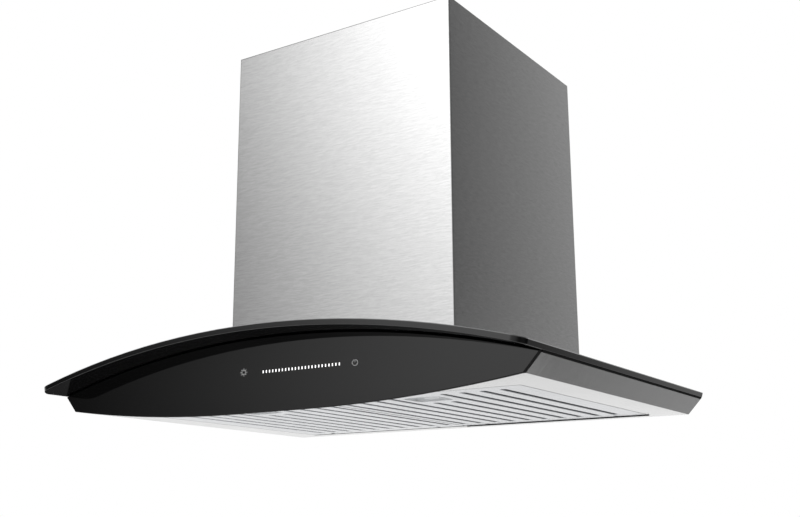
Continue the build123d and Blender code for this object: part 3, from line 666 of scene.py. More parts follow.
def grid_faces(rows: int, columns: int, closed: bool) -> np.ndarray:
    """Quads of a grid of points.

    Args:
        rows: points along the first parameter.
        columns: points along the second parameter.
        closed: whether the second parameter joins its start again.

    Returns:
        An array of quads, four point numbers each.
    """
    across = columns if closed else columns - 1
    row, column = np.meshgrid(np.arange(rows - 1), np.arange(across), indexing="ij")
    after = (column + 1) % columns
    quads = [row * columns + column, row * columns + after]
    quads += [(row + 1) * columns + after, (row + 1) * columns + column]
    return np.stack(quads, axis=-1).reshape(-1, 4)


def add_piece(
    name: str,
    points: np.ndarray,
    faces: Sequence[Sequence[int]],
    finish: Finish,
    body: Body,
    smooth: bool = True,
) -> bpy.types.Object:
    """Make an object at the origin from points and faces, and let it ride on a body.

    Args:
        name: the piece's name.
        points: coordinates in metres, three to a row.
        faces: point numbers of each face, seen from outside in turn.
        finish: the finish that its material is made from.
        body: the body that it moves with.
        smooth: whether its faces are shaded smooth, with steep edges kept sharp.

    Returns:
        The new object.
    """
    mesh = bpy.data.meshes.new(name)
    mesh.from_pydata(points.reshape(-1, 3).tolist(), [], [list(map(int, face)) for face in faces])
    mesh.validate()
    if smooth:
        mesh.shade_smooth()
        mesh.set_sharp_from_angle(angle=SHARP_ANGLE)
    mesh.materials.append(finish.material())
    piece = bpy.data.objects.new(name, mesh)
    bpy.context.scene.collection.objects.link(piece)
    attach(piece, body.value)
    LOG.info("%s: %d faces on %s", name, len(mesh.polygons), body.value)
    return piece


def prisms(outlines: np.ndarray, front: float, back: float) -> tuple[np.ndarray, list[list[int]]]:
    """Flat shapes with a little thickness, facing the front.

    Args:
        outlines: x and z of the outlines, as shapes by points by 2, turning left.
        front: y of their front faces.
        back: y of their back faces.

    Returns:
        Points and faces of all the prisms.
    """
    count, corners, _ = outlines.shape
    layers = np.empty((count, 2, corners, 3))
    layers[..., 0] = outlines[:, None, :, 0]
    layers[..., 2] = outlines[:, None, :, 1]
    layers[:, 0, :, 1] = front
    layers[:, 1, :, 1] = back
    first = np.arange(count)[:, None] * 2 * corners
    sides = first[..., None] + grid_faces(2, corners, True)[None, :, ::-1]
    fronts = first + np.arange(corners)[None]
    backs = first + corners + np.arange(corners)[None, ::-1]
    faces = sides.reshape(-1, 4).tolist() + fronts.tolist() + backs.tolist()
    return layers.reshape(-1, 3), faces


def lathe(
    radius: np.ndarray, height: np.ndarray, axis: tuple[float, float], turns: int
) -> tuple[np.ndarray, np.ndarray]:
    """A profile turned about an upright axis: x = r cos t, y = r sin t, z = h.

    Args:
        radius: radius of each profile point.
        height: height of each profile point.
        axis: x and y of the axis.
        turns: points round the axis.

    Returns:
        Points and quads, open where the profile is open.
    """
    turn = np.linspace(0.0, 2 * math.pi, turns, endpoint=False)
    points = np.empty((len(radius), turns, 3))
    points[..., 0] = axis[0] + radius[:, None] * np.cos(turn)
    points[..., 1] = axis[1] + radius[:, None] * np.sin(turn)
    points[..., 2] = height[:, None]
    return points.reshape(-1, 3), grid_faces(len(radius), turns, True)


@dataclass
class SubAssembly:
    """A group of the hood's pieces and the finishes of its CAD nodes."""

    finishes: dict[str, Finish]

    def dress(self, nodes: Mapping[str, bpy.types.Object]) -> None:
        """Put the finishes on the CAD nodes.

        Args:
            nodes: the CAD nodes' objects by name.
        """
        for node, finish in self.finishes.items():
            nodes[node].material_slots[0].material = finish.material()
            LOG.info("%s: %s", node, finish.name)

    def build(self) -> None:
        """Make the new pieces; a group without any has none to make."""


TRAY_STEEL = BrushedSteel(
    "tray_steel",
    even(0.67),
    even(0.58),
    Grain.UPRIGHT,
    0.20,
    # Painted shade on the inner lip round the filters' opening.
    painted_shade_box=(243.2 * MM, -346.7 * MM, -19.3 * MM),
)
CHIMNEY_STEEL = BrushedSteel(
    "chimney_steel",
    even(0.63),
    even(0.52),
    Grain.LEVEL,
    0.15,
    groove=0.0014 * MM,
    # Painted shade: a thin dark line along the top front edge.
    painted_edge_line=(-305.5 * MM, 436.2 * MM),
)
FILTER_STEEL = BrushedSteel(
    "filter_steel",
    (0.64, 0.65, 0.67),
    (0.58, 0.59, 0.61),
    Grain.ALONG_SLOTS,
    0.22,
    # Painted shade on the filters' side walls, in the gaps beside the tray.
    painted_shade_box=(241.1 * MM, -344.6 * MM, -26.2 * MM),
    painted_shade_inside=False,
)
ZINC = ZincSheet("zinc_sheet")
PANEL_GLASS = PanelGlass("panel_glass", "control_panel")
BLACK_RUBBER = MouldedPlastic(
    "black_rubber", even(0.010), even(0.006), 0.75, texture=0.05 * MM, ior=1.15
)
DARK_PLASTIC = MouldedPlastic("dark_plastic", (0.030, 0.031, 0.033), (0.022, 0.023, 0.025))
PALE_PLASTIC = MouldedPlastic("pale_plastic", (0.82, 0.83, 0.84), (0.77, 0.78, 0.79), 0.38)
FAN_PLASTIC = MouldedPlastic("fan_plastic", (0.060, 0.062, 0.066), (0.045, 0.046, 0.050), 0.5)
BOARD = CircuitBoard("circuit_board")
BRIGHT_STEEL = PlainMetal("bright_steel", even(0.72), even(0.62), 0.2, (500.0, 500.0, 1500.0))
SPRING_STEEL = PlainMetal(
    "spring_steel", (0.42, 0.41, 0.39), (0.32, 0.31, 0.30), 0.3, (1500.0, 300.0, 300.0)
)
MOTOR_METAL = PlainMetal(
    "motor_metal",
    (0.44, 0.45, 0.46),
    (0.30, 0.30, 0.31),
    0.42,
    (1500.0, 60.0, 60.0),
    groove=0.06 * MM,
)
LAMP_METAL = PlainMetal(
    "lamp_metal",
    (0.58, 0.58, 0.59),
    (0.48, 0.48, 0.49),
    0.45,
    even(700.0),
    groove=0.04 * MM,
)
LAMP_LENS = FrostedLens("lamp_lens")
# Strengths of the painted glow on the slider's bars and on the icons.
BAR_PRINT = PrintedMark("bar_print", even(0.95), 1.3)
ICON_PRINT = PrintedMark("icon_print", even(0.75), 0.65)


@dataclass
class Canopy(SubAssembly):
    """Arched glass on its gasket, with the tray and the deck below it."""

    finishes: dict[str, Finish] = field(
        default_factory=lambda: {
            "tray": TRAY_STEEL,
            "deck": TRAY_STEEL,
            "glass_gasket": BLACK_RUBBER,
            "panel_tape": BLACK_RUBBER,
        }
    )
    half_chord: float = 300 * MM
    edge_top: float = 24 * MM
    rise: float = 41 * MM
    thickness: float = 6 * MM
    enamel_depth: float = 0.3 * MM

    def __post_init__(self) -> None:
        """Work out the arch from its chord and rise: R = (c c + h h) / 2 h."""
        top_radius = (self.half_chord**2 + self.rise**2) / (2 * self.rise)
        self.finishes["glass_canopy"] = CanopyGlass(
            "black_glass",
            self.edge_top + self.rise - top_radius,
            top_radius - self.thickness + self.enamel_depth,
        )


@dataclass
class Controls(SubAssembly):
    """Glass panel with the touch control's printed marks, placed by their x and z."""

    finishes: dict[str, Finish] = field(
        default_factory=lambda: {
            "control_panel": PANEL_GLASS,
            "touch_board": BOARD,
            "touch_housing": DARK_PLASTIC,
        }
    )
    face_y: float = field(default_factory=lambda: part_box("control_panel")[0].y)
    print_depth: float = 0.06 * MM
    bar_count: int = 24
    bar_first: float = -6.5 * MM
    bar_last: float = 87.6 * MM
    bar_height: float = 23.5 * MM
    bar_size: tuple[float, float] = (1.25 * MM, 2.7 * MM)
    bar_corner: float = 0.2 * MM
    bar_points: int = 16
    sun_centre: tuple[float, float] = (-32.0 * MM, 24.9 * MM)
    sun_radius: float = 2.1 * MM
    ray_reach: tuple[float, float] = (2.15 * MM, 4.0 * MM)
    ray_count: int = 8
    power_centre: tuple[float, float] = (105.8 * MM, 23.3 * MM)
    power_radius: float = 2.7 * MM
    power_gap: float = 0.15
    stroke_reach: tuple[float, float] = (0.15, 0.9)
    ring_steps: int = 40
    line: float = 0.19 * MM
    stretch: float = 1.2

    def build(self) -> None:
        """Print the slider's bars, the light sign and the power sign."""
        self.add_mark("slider_bars", self.bars(), BAR_PRINT)
        sun = self.ring(self.sun_centre, self.sun_radius, 0.0)
        self.add_mark("light_ring", sun, ICON_PRINT)
        self.add_mark("light_rays", self.rays(), ICON_PRINT)
        power = self.ring(self.power_centre, self.power_radius, self.power_gap)
        self.add_mark("power_ring", power, ICON_PRINT)
        self.add_mark("power_stroke", self.stroke(), ICON_PRINT)

    def add_mark(self, name: str, outlines: np.ndarray, finish: Finish) -> None:
        """Raise outlines from the panel's face as a thin print."""
        points, faces = prisms(outlines, self.face_y - self.print_depth, self.face_y)
        add_piece(name, points, faces, finish, Body.HOOD, smooth=False)

    def bars(self) -> np.ndarray:
        """Rounded rectangles: four corner arcs, moved to each place along the slider."""
        turn = (np.arange(self.bar_points) + 0.5) * 2 * math.pi / self.bar_points
        reach = np.array(self.bar_size) / 2 - self.bar_corner
        arcs = np.stack([np.cos(turn), np.sin(turn)], axis=-1)
        outline = arcs * self.bar_corner + np.sign(arcs) * reach
        places = np.linspace(self.bar_first, self.bar_last, self.bar_count)
        centres = np.stack([places, np.full_like(places, self.bar_height)], axis=-1)
        return centres[:, None] + outline[None]

    def ring(self, centre: tuple[float, float], radius: float, gap: float) -> np.ndarray:
        """A ring as one quad per step of angle: x = r cos t, z = r sin t.

        Args:
            centre: x and z of its centre.
            radius: radius of the middle of its line.
            gap: half of the angle that it is open by at the top, in radians.

        Returns:
            The quads' outlines.
        """
        steps = np.linspace(math.pi / 2 + gap, 2.5 * math.pi - gap, self.ring_steps + 1)
        rim = np.stack([np.cos(steps), np.sin(steps)], axis=-1)
        inner = rim * (radius - self.line / 2)
        outer = rim * (radius + self.line / 2)
        quads = np.stack([inner[:-1], outer[:-1], outer[1:], inner[1:]], axis=1)
        return np.array(centre) + quads * (self.stretch, 1.0)

    def rays(self) -> np.ndarray:
        """Short strokes that point away from the sun's ring."""
        turn = np.arange(self.ray_count) * 2 * math.pi / self.ray_count
        along = np.stack([np.cos(turn), np.sin(turn)], axis=-1)
        aside = np.stack([-along[:, 1], along[:, 0]], axis=-1) * self.line / 2
        near, far = along * self.ray_reach[0], along * self.ray_reach[1]
        quads = np.stack([near - aside, far - aside, far + aside, near + aside], axis=1)
        return np.array(self.sun_centre) + quads * (self.stretch, 1.0)

    def stroke(self) -> np.ndarray:
        """The upright stroke of the power sign, from near its middle to its ring."""
        half = self.line / 2
        low, high = (share * self.power_radius for share in self.stroke_reach)
        corners = np.array([[-half, low], [half, low], [half, high], [-half, high]])
        return (np.array(self.power_centre) + corners)[None]


@dataclass
class Lamps(SubAssembly):
    """Two lamps in the front strip of the tray, with ringed lenses."""

    finishes: dict[str, Finish] = field(
        default_factory=lambda: {
            "lamp_left_bezel": BRIGHT_STEEL,
            "lamp_right_bezel": BRIGHT_STEEL,
            "lamp_left_housing": LAMP_METAL,
            "lamp_right_housing": LAMP_METAL,
        }
    )
    place: tuple[float, float] = (120 * MM, -381 * MM)
    face_radius: float = 15.4 * MM
    seat_radius: float = 17.1 * MM
    face_z: float = -0.8 * MM
    seat_top: float = 1.0 * MM
    ring_pitch: float = 1.7 * MM
    ring_depth: float = 0.28 * MM
    pole_radius: float = 0.02 * MM
    face_points: int = 82
    turns: int = 96

    def build(self) -> None:
        """Turn both lenses."""
        for side, sign in (("left", -1), ("right", 1)):
            lens = self.lens(f"lamp_{side}_ringed_lens", sign)
            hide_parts(f"lamp_{side}_lens")

    def lens(self, name: str, sign: int) -> bpy.types.Object:
        """Lens face with saw-tooth rings: z = face + depth (r / pitch modulo 1).

        Args:
            name: the piece's name.
            sign: -1 for the left lamp, 1 for the right one.

        Returns:
            The lens.
        """
        inner = np.linspace(self.pole_radius, self.face_radius, self.face_points)
        saw = np.mod(inner / self.ring_pitch, 1.0)
        face = self.face_z + self.ring_depth * saw * (inner < self.face_radius - self.ring_pitch)
        seat = [self.face_radius, self.seat_radius, self.seat_radius, self.pole_radius]
        radius = np.concatenate([inner, seat])
        height = np.concatenate([face, [0.0, 0.0, self.seat_top, self.seat_top]])
        points, quads = lathe(radius, height, (sign * self.place[0], self.place[1]), self.turns)
        faces = quads[:, ::-1].tolist()
        faces.append(list(range(self.turns)))
        faces.append(list(range(len(points) - 1, len(points) - 1 - self.turns, -1)))
        return add_piece(name, points, faces, LAMP_LENS, Body.HOOD)


@dataclass
class Filters(SubAssembly):
    """Both tilting filters with their cups, latches and springs."""

    finishes: dict[str, Finish] = field(
        default_factory=lambda: {
            "filter_hinge_brackets": ZINC,
            **{
                f"filter_{side}_{piece}": finish
                for side in ("left", "right")
                for piece, finish in (
                    ("face", FILTER_STEEL),
                    ("baffle", FILTER_STEEL),
                    ("cup", PALE_PLASTIC),
                    ("latch", PALE_PLASTIC),
                    ("pivots", BRIGHT_STEEL),
                    ("latch_springs", SPRING_STEEL),
                    ("keeper", SPRING_STEEL),
                )
            },
        }
    )
    pad_length: float = 6 * MM
    rib_count: int = 3
    rib_length: float = 12 * MM
    rib_radius: float = 0.45 * MM
    rib_power: int = 8
    rib_tip: float = 0.01
    rib_steps: int = 15
    rib_turns: int = 12
    # Painted shade: a black strip in the gap behind the right filter, where there is only shade.
    shade_strip_x: tuple[float, float] = (1 * MM, 242.2 * MM)
    shade_strip_y: tuple[float, float] = (-23.4 * MM, -20 * MM)
    shade_strip_z: tuple[float, float] = (-0.9 * MM, 6 * MM)
    shade_strip_power: int = 6
    shade_strip_steps: int = 60
    shade_strip_turns: int = 28

    def build(self) -> None:
        """Rib the finger pads of the latches, and put a black strip of painted shade in the gap
        behind the right filter.
        """
        for side, latch in (("left", Body.LEFT_LATCH), ("right", Body.RIGHT_LATCH)):
            points, quads = self.ribs(side)
            add_piece(f"{side}_latch_ribs", points, quads, PALE_PLASTIC, latch)
        # Painted shade: a black strip put where the gap behind the right filter is in shade.
        points, faces = self.shade_strip()
        add_piece("rear_shade_strip", points, faces, BLACK_RUBBER, Body.HOOD)

    def ribs(self, side: str) -> tuple[np.ndarray, np.ndarray]:
        """Half-round ribs: a circle whose radius follows sqrt(1 - u^8) along the rib.

        Args:
            side: left or right.

        Returns:
            Points and quads of the ribs on that side's latch.
        """
        low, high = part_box(f"filter_{side}_latch")
        along = np.linspace(-1.0, 1.0, self.rib_steps)
        turn = np.linspace(0.0, 2 * math.pi, self.rib_turns, endpoint=False)
        swell = np.sqrt(np.clip(1.0 - along**self.rib_power, self.rib_tip**2, 1.0))
        swell = self.rib_radius * swell[:, None]
        share = (np.arange(self.rib_count) + 1.0) / (self.rib_count + 1.0)
        places = high.y - self.pad_length * (1.0 - share)
        points = np.empty((self.rib_count, len(along), len(turn), 3))
        points[..., 0] = (low.x + high.x) / 2 + along[:, None] * self.rib_length / 2
        points[..., 1] = places[:, None, None] + swell * np.cos(turn)
        points[..., 2] = low.z + swell * np.sin(turn)
        quads = grid_faces(len(along), len(turn), True)
        first = np.arange(self.rib_count)[:, None, None] * len(along) * len(turn)
        return points.reshape(-1, 3), (first + quads[None, :, ::-1]).reshape(-1, 4)

    def shade_strip(self) -> tuple[np.ndarray, list[list[int]]]:
        """A black strip standing for the shade in the gap: a superellipse |u|^6 + |v|^6 = 1 in y
        and z, carried along x.
        """
        turn = np.linspace(0.0, 2 * math.pi, self.shade_strip_turns, endpoint=False)
        middle = np.array([sum(self.shade_strip_y), sum(self.shade_strip_z)]) / 2
        half = np.array([np.ptp(self.shade_strip_y), np.ptp(self.shade_strip_z)]) / 2
        round_trip = np.stack([np.cos(turn), np.sin(turn)], axis=-1)
        bulge = np.abs(round_trip) ** (2 / self.shade_strip_power)
        section = middle + half * np.sign(round_trip) * bulge
        along = np.linspace(*self.shade_strip_x, self.shade_strip_steps)
        points = np.empty((len(along), len(turn), 3))
        points[..., 0] = along[:, None]
        points[..., 1:] = section
        last = (len(along) - 1) * len(turn)
        faces = grid_faces(len(along), len(turn), True)[:, ::-1].tolist()
        faces.append(list(range(len(turn))))
        faces.append(list(range(last + len(turn) - 1, last - 1, -1)))
        return points.reshape(-1, 3), faces


class Facing(Enum):
    """Directions that a screw's head can face, as its two level axes and its outward axis."""

    UP = ((1, 0, 0), (0, 1, 0), (0, 0, 1))
    RIGHT = ((0, 1, 0), (0, 0, 1), (1, 0, 0))
    LEFT = ((0, 0, 1), (0, 1, 0), (-1, 0, 0))


@dataclass(frozen=True)
class PanScrews:
    """Cross-recess pan-head screws of one size."""

    radius: float = 3.4 * MM
    height: float = 2.0 * MM
    recess_width: float = 0.42 * MM
    recess_reach: float = 1.9 * MM
    recess_depth: float = 1.3 * MM
    wall_slope: float = 0.3
    end_slope: float = 0.4
    pole_share: float = 0.02
    rings: int = 15
    turns: int = 40

    def heads(
        self, places: np.ndarray, facing: Facing, twist: np.ndarray
    ) -> tuple[np.ndarray, list[list[int]]]:
        """Heads with z = h (1 - t^4) less a cross cut, where t runs from the middle to the rim.

        Args:
            places: the points where the heads sit, three numbers each.
            facing: the way that the heads face.
            twist: the angle of each head's cross, in radians.

        Returns:
            Points and faces of all the heads.
        """
        share = np.linspace(self.pole_share, 1.0, self.rings)[:, None]
        turn = np.linspace(0.0, 2 * math.pi, self.turns, endpoint=False)[None]
        x = self.radius * share * np.cos(turn)
        y = self.radius * share * np.sin(turn)
        slim = np.minimum(np.abs(x), np.abs(y))
        wide = np.maximum(np.abs(x), np.abs(y))
        wall = (self.recess_width - slim) / (self.wall_slope * self.recess_width)
        end = (self.recess_reach - wide) / (self.end_slope * self.recess_reach)
        recess = np.clip(wall + 0.5, 0.0, 1.0) * np.clip(end, 0.0, 1.0)
        z = self.height * (1.0 - share**4) - self.recess_depth * recess
        cos, sin = np.cos(twist)[:, None, None], np.sin(twist)[:, None, None]
        heights = np.broadcast_to(z, (len(twist), *z.shape))
        local = np.stack([x * cos - y * sin, x * sin + y * cos, heights], -1)
        points = places[:, None, None, :] + local @ np.array(facing.value, float)
        count = self.rings * self.turns
        first = np.arange(len(places))[:, None] * count
        quads = first[..., None] + grid_faces(self.rings, self.turns, True)[None]
        middles = first + np.arange(self.turns)[None]
        rims = first + count - 1 - np.arange(self.turns)[None]
        faces = quads.reshape(-1, 4).tolist() + middles.tolist() + rims.tolist()
        return points.reshape(-1, 3), faces


@dataclass
class Blower(SubAssembly):
    """Motor box with the fan, the outlet collar and the terminal box."""

    finishes: dict[str, Finish] = field(
        default_factory=lambda: {
            "motor_box": ZINC,
            "scroll_casing": DARK_PLASTIC,
            "inlet_ring_left": DARK_PLASTIC,
            "inlet_ring_right": DARK_PLASTIC,
            "impeller": FAN_PLASTIC,
            "motor_shaft": BRIGHT_STEEL,
            "motor": MOTOR_METAL,
            "motor_carrier": ZINC,
            "capacitor": PALE_PLASTIC,
            "capacitor_clip": ZINC,
            "outlet_collar": DARK_PLASTIC,
            "flap_pin": BRIGHT_STEEL,
            "flap_front": PALE_PLASTIC,
            "flap_rear": PALE_PLASTIC,
            "terminal_box": DARK_PLASTIC,
            "terminal_lid": DARK_PLASTIC,
            "cable_gland": DARK_PLASTIC,
        }
    )
    collar_centre: tuple[float, float] = (0.0, -153 * MM)
    collar_flange: float = 2 * MM
    collar_screw_radius: float = 81.3 * MM
    collar_screws: int = 6
    box_inset: float = 10 * MM
    lid_screw_offset: tuple[float, float] = (13 * MM, 20.5 * MM)
    lid_screw: PanScrews = PanScrews(2.4 * MM, 1.5 * MM, 0.32 * MM, 1.4 * MM, 0.9 * MM)
    first_twist: float = 0.3
    twist_step: float = 0.9

    def build(self) -> None:
        """Screw down the collar, the box's corners and the terminal lid."""
        self.add_screws("collar_screws", self.collar_places(), PanScrews())
        self.add_screws("box_screws", self.box_places(), PanScrews())
        self.add_screws("lid_screws", self.lid_places(), self.lid_screw)

    def collar_places(self) -> np.ndarray:
        """Places round the collar's flange: x = r cos t, y = r sin t from its centre."""
        turn = (np.arange(self.collar_screws) + 0.5) * 2 * math.pi / self.collar_screws
        across = self.collar_centre[0] + self.collar_screw_radius * np.cos(turn)
        along = self.collar_centre[1] + self.collar_screw_radius * np.sin(turn)
        level = np.full_like(turn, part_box("outlet_collar")[0].z + self.collar_flange)
        return np.stack([across, along, level], -1)

    def box_places(self) -> np.ndarray:
        """Three corners of the box's top; beside the terminal box there is none."""
        low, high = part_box("motor_box")
        right, rear = high.x - self.box_inset, high.y - self.box_inset
        left, front = low.x + self.box_inset, low.y + self.box_inset
        return np.array([(left, rear, high.z), (right, front, high.z), (left, front, high.z)])

    def lid_places(self) -> np.ndarray:
        """Two opposite corners of the terminal lid's top."""
        low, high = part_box("terminal_lid")
        centre = np.array([(low.x + high.x) / 2, (low.y + high.y) / 2, high.z])
        x, y = self.lid_screw_offset
        return centre + np.array([(-x, -y, 0.0), (x, y, 0.0)])

    def add_screws(self, name: str, places: np.ndarray, size: PanScrews) -> None:
        """Put a set of upward-facing screws in one piece.

        Args:
            name: the piece's name.
            places: the points where the heads sit, three numbers each.
            size: the screws' size.
        """
        twist = np.arange(len(places)) * self.twist_step + self.first_twist
        points, faces = size.heads(places, Facing.UP, twist)
        add_piece(name, points, faces, BRIGHT_STEEL, Body.HOOD)


@dataclass
class Chimney(SubAssembly):
    """Fixed lower cover, sliding upper cover and its wall bracket."""

    finishes: dict[str, Finish] = field(
        default_factory=lambda: {
            "lower_chimney": CHIMNEY_STEEL,
            "upper_chimney": CHIMNEY_STEEL,
            "chimney_bracket": ZINC,
        }
    )
    tab_sheet: float = 1.5 * MM
    screw_y: float = -16 * MM
    screw_twist: float = 0.4

    def build(self) -> None:
        """Screw the bracket's tabs to the upper cover."""
        low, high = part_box("chimney_bracket")
        inside, level = high.x - self.tab_sheet, (low.z + high.z) / 2
        for side, sign, facing in (("left", -1, Facing.RIGHT), ("right", 1, Facing.LEFT)):
            place = np.array([(sign * inside, self.screw_y, level)])
            points, faces = PanScrews().heads(place, facing, np.array([self.screw_twist]))
            name = f"{side}_bracket_screw"
            add_piece(name, points, faces, BRIGHT_STEEL, Body.UPPER_CHIMNEY)


@dataclass(frozen=True)
class Direction:
    """A direction that light comes from, in degrees.

    The heading is 0 straight in front and the rear heading 0 straight behind; both grow to
    the right. The height is 0 at eye level and grows upwards.
    """

    heading: Wire
    rear: Wire
    height: Wire


@dataclass(frozen=True)
class SoftBoxes:
    """Soft boxes round the hood: soft edges are in degrees, levels are strengths of light."""

    front_left: Edge = (-53.0, -24.5)
    front_right: Edge = (8.0, 66.0)
    front_level: float = 0.75
    front_rise: float = 0.063
    rise_end: float = 32.0
    lean_low: Edge = (7.0, 11.0)
    lean_high: Edge = (13.0, 24.0)
    lean_turn: float = 1.2
    lean_loss: float = 0.06
    dimmer_heading: Edge = (-21.0, -2.0)
    dimmer_height: Edge = (6.0, 14.0)
    dimmer_level: float = 0.35
    dimmer_rise: float = 0.32
    back_left: Edge = (-125.0, -70.0)
    back_right: Edge = (-4.0, 38.0)
    back_level: float = 0.95
    back_rise: float = 0.015
    glow_height: Edge = (4.5, 8.0)
    glow_right: Edge = (-8.0, 8.0)
    glow_level: float = 0.6
    glow_loss: float = 0.23
    above_height: Edge = (48.0, 75.0)
    above_level: float = 0.8
    wall_height: Edge = (26.0, 50.0)
    wall_level: float = 0.05
    wall_rise: float = 0.55
    flag_left: Edge = (62.0, 75.0)
    flag_right: Edge = (122.0, 137.0)
    flag_height: Edge = (8.0, 11.0)
    flag_loss: float = 0.035
    flag_gain: float = 0.15
    floor_level: float = 0.62
    shade_left: Edge = (-10.0, 16.0)
    shade_right: Edge = (130.0, 160.0)
    shade_loss: float = 0.50
    near_height: Edge = (-25.0, -17.0)
    near_right: Edge = (25.0, 45.0)
    near_gain: float = 0.13
    ahead_side: Edge = (75.0, 105.0)
    ahead_loss: float = 0.05
    corner_height: Edge = (-28.0, -18.0)
    corner_right: Edge = (-32.0, -18.0)
    corner_loss: float = 0.40
    hall_left: Edge = (28.0, 31.5)
    hall_right: Edge = (45.0, 58.0)
    strip_low: Edge = (-2.0, 1.0)
    strip_high: Edge = (5.0, 8.0)
    strip_level: float = 1.2
    ledge_low: Edge = (-24.0, -19.0)
    ledge_high: Edge = (-14.0, -11.5)
    ledge_level: float = 1.1
    skirting: Edge = (-14.0, -9.0)

    def strength(self, at: Direction) -> Wire:
        """Add up the boxes.

        Args:
            at: the direction that the light comes from.

        Returns:
            The strength of light: boxes above the skirting, the floor below it, and the hall.
        """
        upper = at.height.step(*self.skirting)
        above = at.height.step(*self.above_height) * self.above_level
        boxes = self.front(at) + self.back(at) + above + self.walls(at)
        return upper * boxes + (1.0 - upper) * self.floor(at) + self.hall(at)

    def lift(self, at: Direction) -> Wire:
        """The height, held between eye level and the end of the boxes' rise."""
        low = at.height.graph.math("MINIMUM", at.height, self.rise_end)
        return low.graph.math("MAXIMUM", low, 0.0)

    def front(self, at: Direction) -> Wire:
        """The bright box in front: it grows upwards, leans and is dimmed to the right.

        Args:
            at: the direction that the light comes from.

        Returns:
            The box's strength.
        """
        lean = at.height.band(self.lean_low, self.lean_high)
        left = (at.heading - lean * self.lean_turn).step(*self.front_left)
        right = 1.0 - at.heading.step(*self.front_right)
        dimmer = at.height.step(*self.dimmer_height) * self.dimmer_rise
        dimmer = (dimmer + self.dimmer_level) * at.heading.step(*self.dimmer_heading)
        level = self.lift(at) * self.front_rise + self.front_level - lean * self.lean_loss
        return left * right * level * (1.0 - dimmer)

    def back(self, at: Direction) -> Wire:
        """The pale wall behind on the left, brighter at eye level.

        Args:
            at: the direction that the light comes from.

        Returns:
            The wall's strength.
        """
        glow = 1.0 - abs(at.height).step(*self.glow_height)
        glow = glow * self.glow_level - self.glow_loss
        glow = glow * (1.0 - at.rear.step(*self.glow_right))
        level = self.lift(at) * self.back_rise + glow + self.back_level
        return at.rear.band(self.back_left, self.back_right) * level

    def walls(self, at: Direction) -> Wire:
        """Dim walls that grow brighter upwards, sooner on the right, where the foot is darker.

        Args:
            at: the direction that the light comes from.

        Returns:
            The walls' strength.
        """
        lifted = at.height.step(*self.flag_height) * self.flag_gain
        flag = at.heading.band(self.flag_left, self.flag_right)
        flag = flag * (self.flag_loss - lifted)
        rise = at.height.step(*self.wall_height) * self.wall_rise
        return rise + self.wall_level - flag

    def floor(self, at: Direction) -> Wire:
        """Light from the floor: shaded behind on the right, and steeply below on the left.

        Args:
            at: the direction that the light comes from.

        Returns:
            The floor's strength.
        """
        near = at.height.step(*self.near_height)
        near = near * (1.0 - at.rear.step(*self.near_right))
        shade = at.rear.band(self.shade_left, self.shade_right)
        ahead = 1.0 - abs(at.heading).step(*self.ahead_side)
        corner = 1.0 - at.height.step(*self.corner_height)
        corner = corner * (1.0 - at.rear.step(*self.corner_right))
        level = self.floor_level - shade * (self.shade_loss - near * self.near_gain)
        level = level - ahead * (1.0 - shade) * self.ahead_loss
        return level - corner * (1.0 - ahead) * self.corner_loss

    def hall(self, at: Direction) -> Wire:
        """A lit strip at eye level and a ledge below it, behind on the right.

        Args:
            at: the direction that the light comes from.

        Returns:
            Their strength.
        """
        strip = at.height.band(self.strip_low, self.strip_high) * self.strip_level
        ledge = at.height.band(self.ledge_low, self.ledge_high) * self.ledge_level
        return at.rear.band(self.hall_left, self.hall_right) * (strip + ledge)


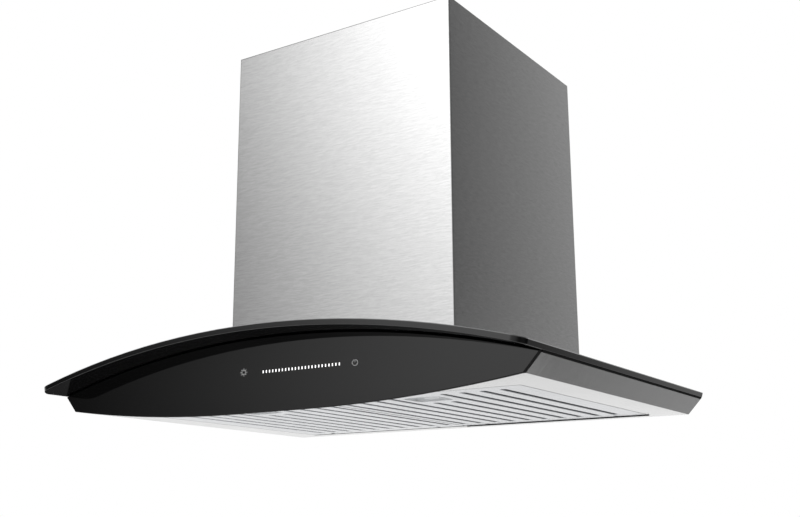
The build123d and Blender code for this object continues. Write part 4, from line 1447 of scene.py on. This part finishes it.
@dataclass
class Studio:
    """Pale floor, soft light all round and the camera."""

    camera_place: tuple[float, float, float] = (0.70603, -1.26352, -0.13313)
    camera_turn: float = 34.3193
    camera_tilt: float = 13.9508
    camera_lens: float = 49.7916
    camera_sensor: float = 36.0
    camera_shift: float = 0.0311
    boxes: SoftBoxes = SoftBoxes()
    paper: Colour = even(1.0)
    floor_z: float = -1.15
    floor_centre: tuple[float, float] = (0.0, -0.2)
    floor_hole: float = 0.01
    floor_radius: float = 2.2
    floor_fade: tuple[float, float] = (0.45, 0.95)
    floor_rings: int = 24
    floor_turns: int = 96
    floor_tones: tuple[Colour, Colour] = (even(0.82), even(0.86))
    floor_cycles: float = 3.0
    floor_roughness: float = 0.7

    def build(self) -> None:
        """Make the camera, the light and the floor."""
        self.add_camera()
        self.light_world()
        self.add_floor()
        bpy.context.scene.view_settings.view_transform = "Standard"

    def add_camera(self) -> None:
        """Stand the camera below the hood, to its right, looking up."""
        data = bpy.data.cameras.new("camera")
        data.lens = self.camera_lens
        data.sensor_width = self.camera_sensor
        data.shift_x = self.camera_shift
        camera = bpy.data.objects.new("camera", data)
        camera.location = self.camera_place
        tilt = math.radians(90 + self.camera_tilt)
        camera.rotation_euler = (tilt, 0.0, math.radians(self.camera_turn))
        bpy.context.scene.collection.objects.link(camera)
        bpy.context.scene.camera = camera

    def light_world(self) -> None:
        """Surround the hood with the soft boxes; the camera itself sees plain white."""
        world = bpy.data.worlds.new("studio")
        bpy.context.scene.world = world
        world.use_nodes = True
        graph = Graph(world.node_tree)
        x, y, z = graph.split(graph.wire(graph.node("ShaderNodeTexCoord"), "Generated"))
        degrees = 180.0 / math.pi
        at = Direction(
            heading=graph.math("ARCTAN2", x, -y) * degrees,
            rear=graph.math("ARCTAN2", x, y) * degrees,
            height=graph.math("ARCSINE", z) * degrees,
        )
        white = (*self.paper, 1.0)
        light = self.boxes.strength(at)
        lamp = graph.node("ShaderNodeBackground", inputs={"Color": white, "Strength": light})
        paper = graph.node("ShaderNodeBackground", inputs={"Color": white})
        seen = graph.wire(graph.node("ShaderNodeLightPath"), "Is Camera Ray")
        mixed = graph.node(
            "ShaderNodeMixShader",
            inputs={0: seen, 1: graph.wire(lamp), 2: graph.wire(paper)},
        )
        graph.node("ShaderNodeOutputWorld", inputs={"Surface": graph.wire(mixed)})

    def add_floor(self) -> None:
        """Lay a pale round floor whose rim fades out."""
        radius = np.linspace(self.floor_hole, self.floor_radius, self.floor_rings)
        height = np.full_like(radius, self.floor_z)
        points, quads = lathe(radius, height, self.floor_centre, self.floor_turns)
        mesh = bpy.data.meshes.new("floor")
        mesh.from_pydata(points.tolist(), [], quads.tolist())
        material, graph = new_material("floor")
        x, y, _ = graph.split(graph.object_point())
        reach = (x * x + y * y) ** 0.5
        tone = graph.noise(even(self.floor_cycles))
        pale = graph.node(
            "ShaderNodeBsdfPrincipled",
            inputs={
                "Base Color": graph.blend(tone, *self.floor_tones),
                "Roughness": self.floor_roughness,
            },
        )
        clear = graph.node("ShaderNodeBsdfTransparent")
        fade = reach.step(*(share * self.floor_radius for share in self.floor_fade))
        mixed = graph.node(
            "ShaderNodeMixShader", inputs={0: fade, 1: graph.wire(pale), 2: graph.wire(clear)}
        )
        graph.node("ShaderNodeOutputMaterial", inputs={"Surface": graph.wire(mixed)})
        mesh.materials.append(material)
        floor = bpy.data.objects.new("floor", mesh)
        bpy.context.scene.collection.objects.link(floor)


def main() -> None:
    """Load the frame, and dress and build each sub-assembly."""
    logging.basicConfig(level=logging.INFO, format="%(name)s: %(message)s")
    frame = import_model()
    for group in (Canopy(), Controls(), Lamps(), Filters(), Blower(), Chimney()):
        group.dress(frame["nodes"])
        group.build()
    Studio().build()


if __name__ == "__main__":
    main()
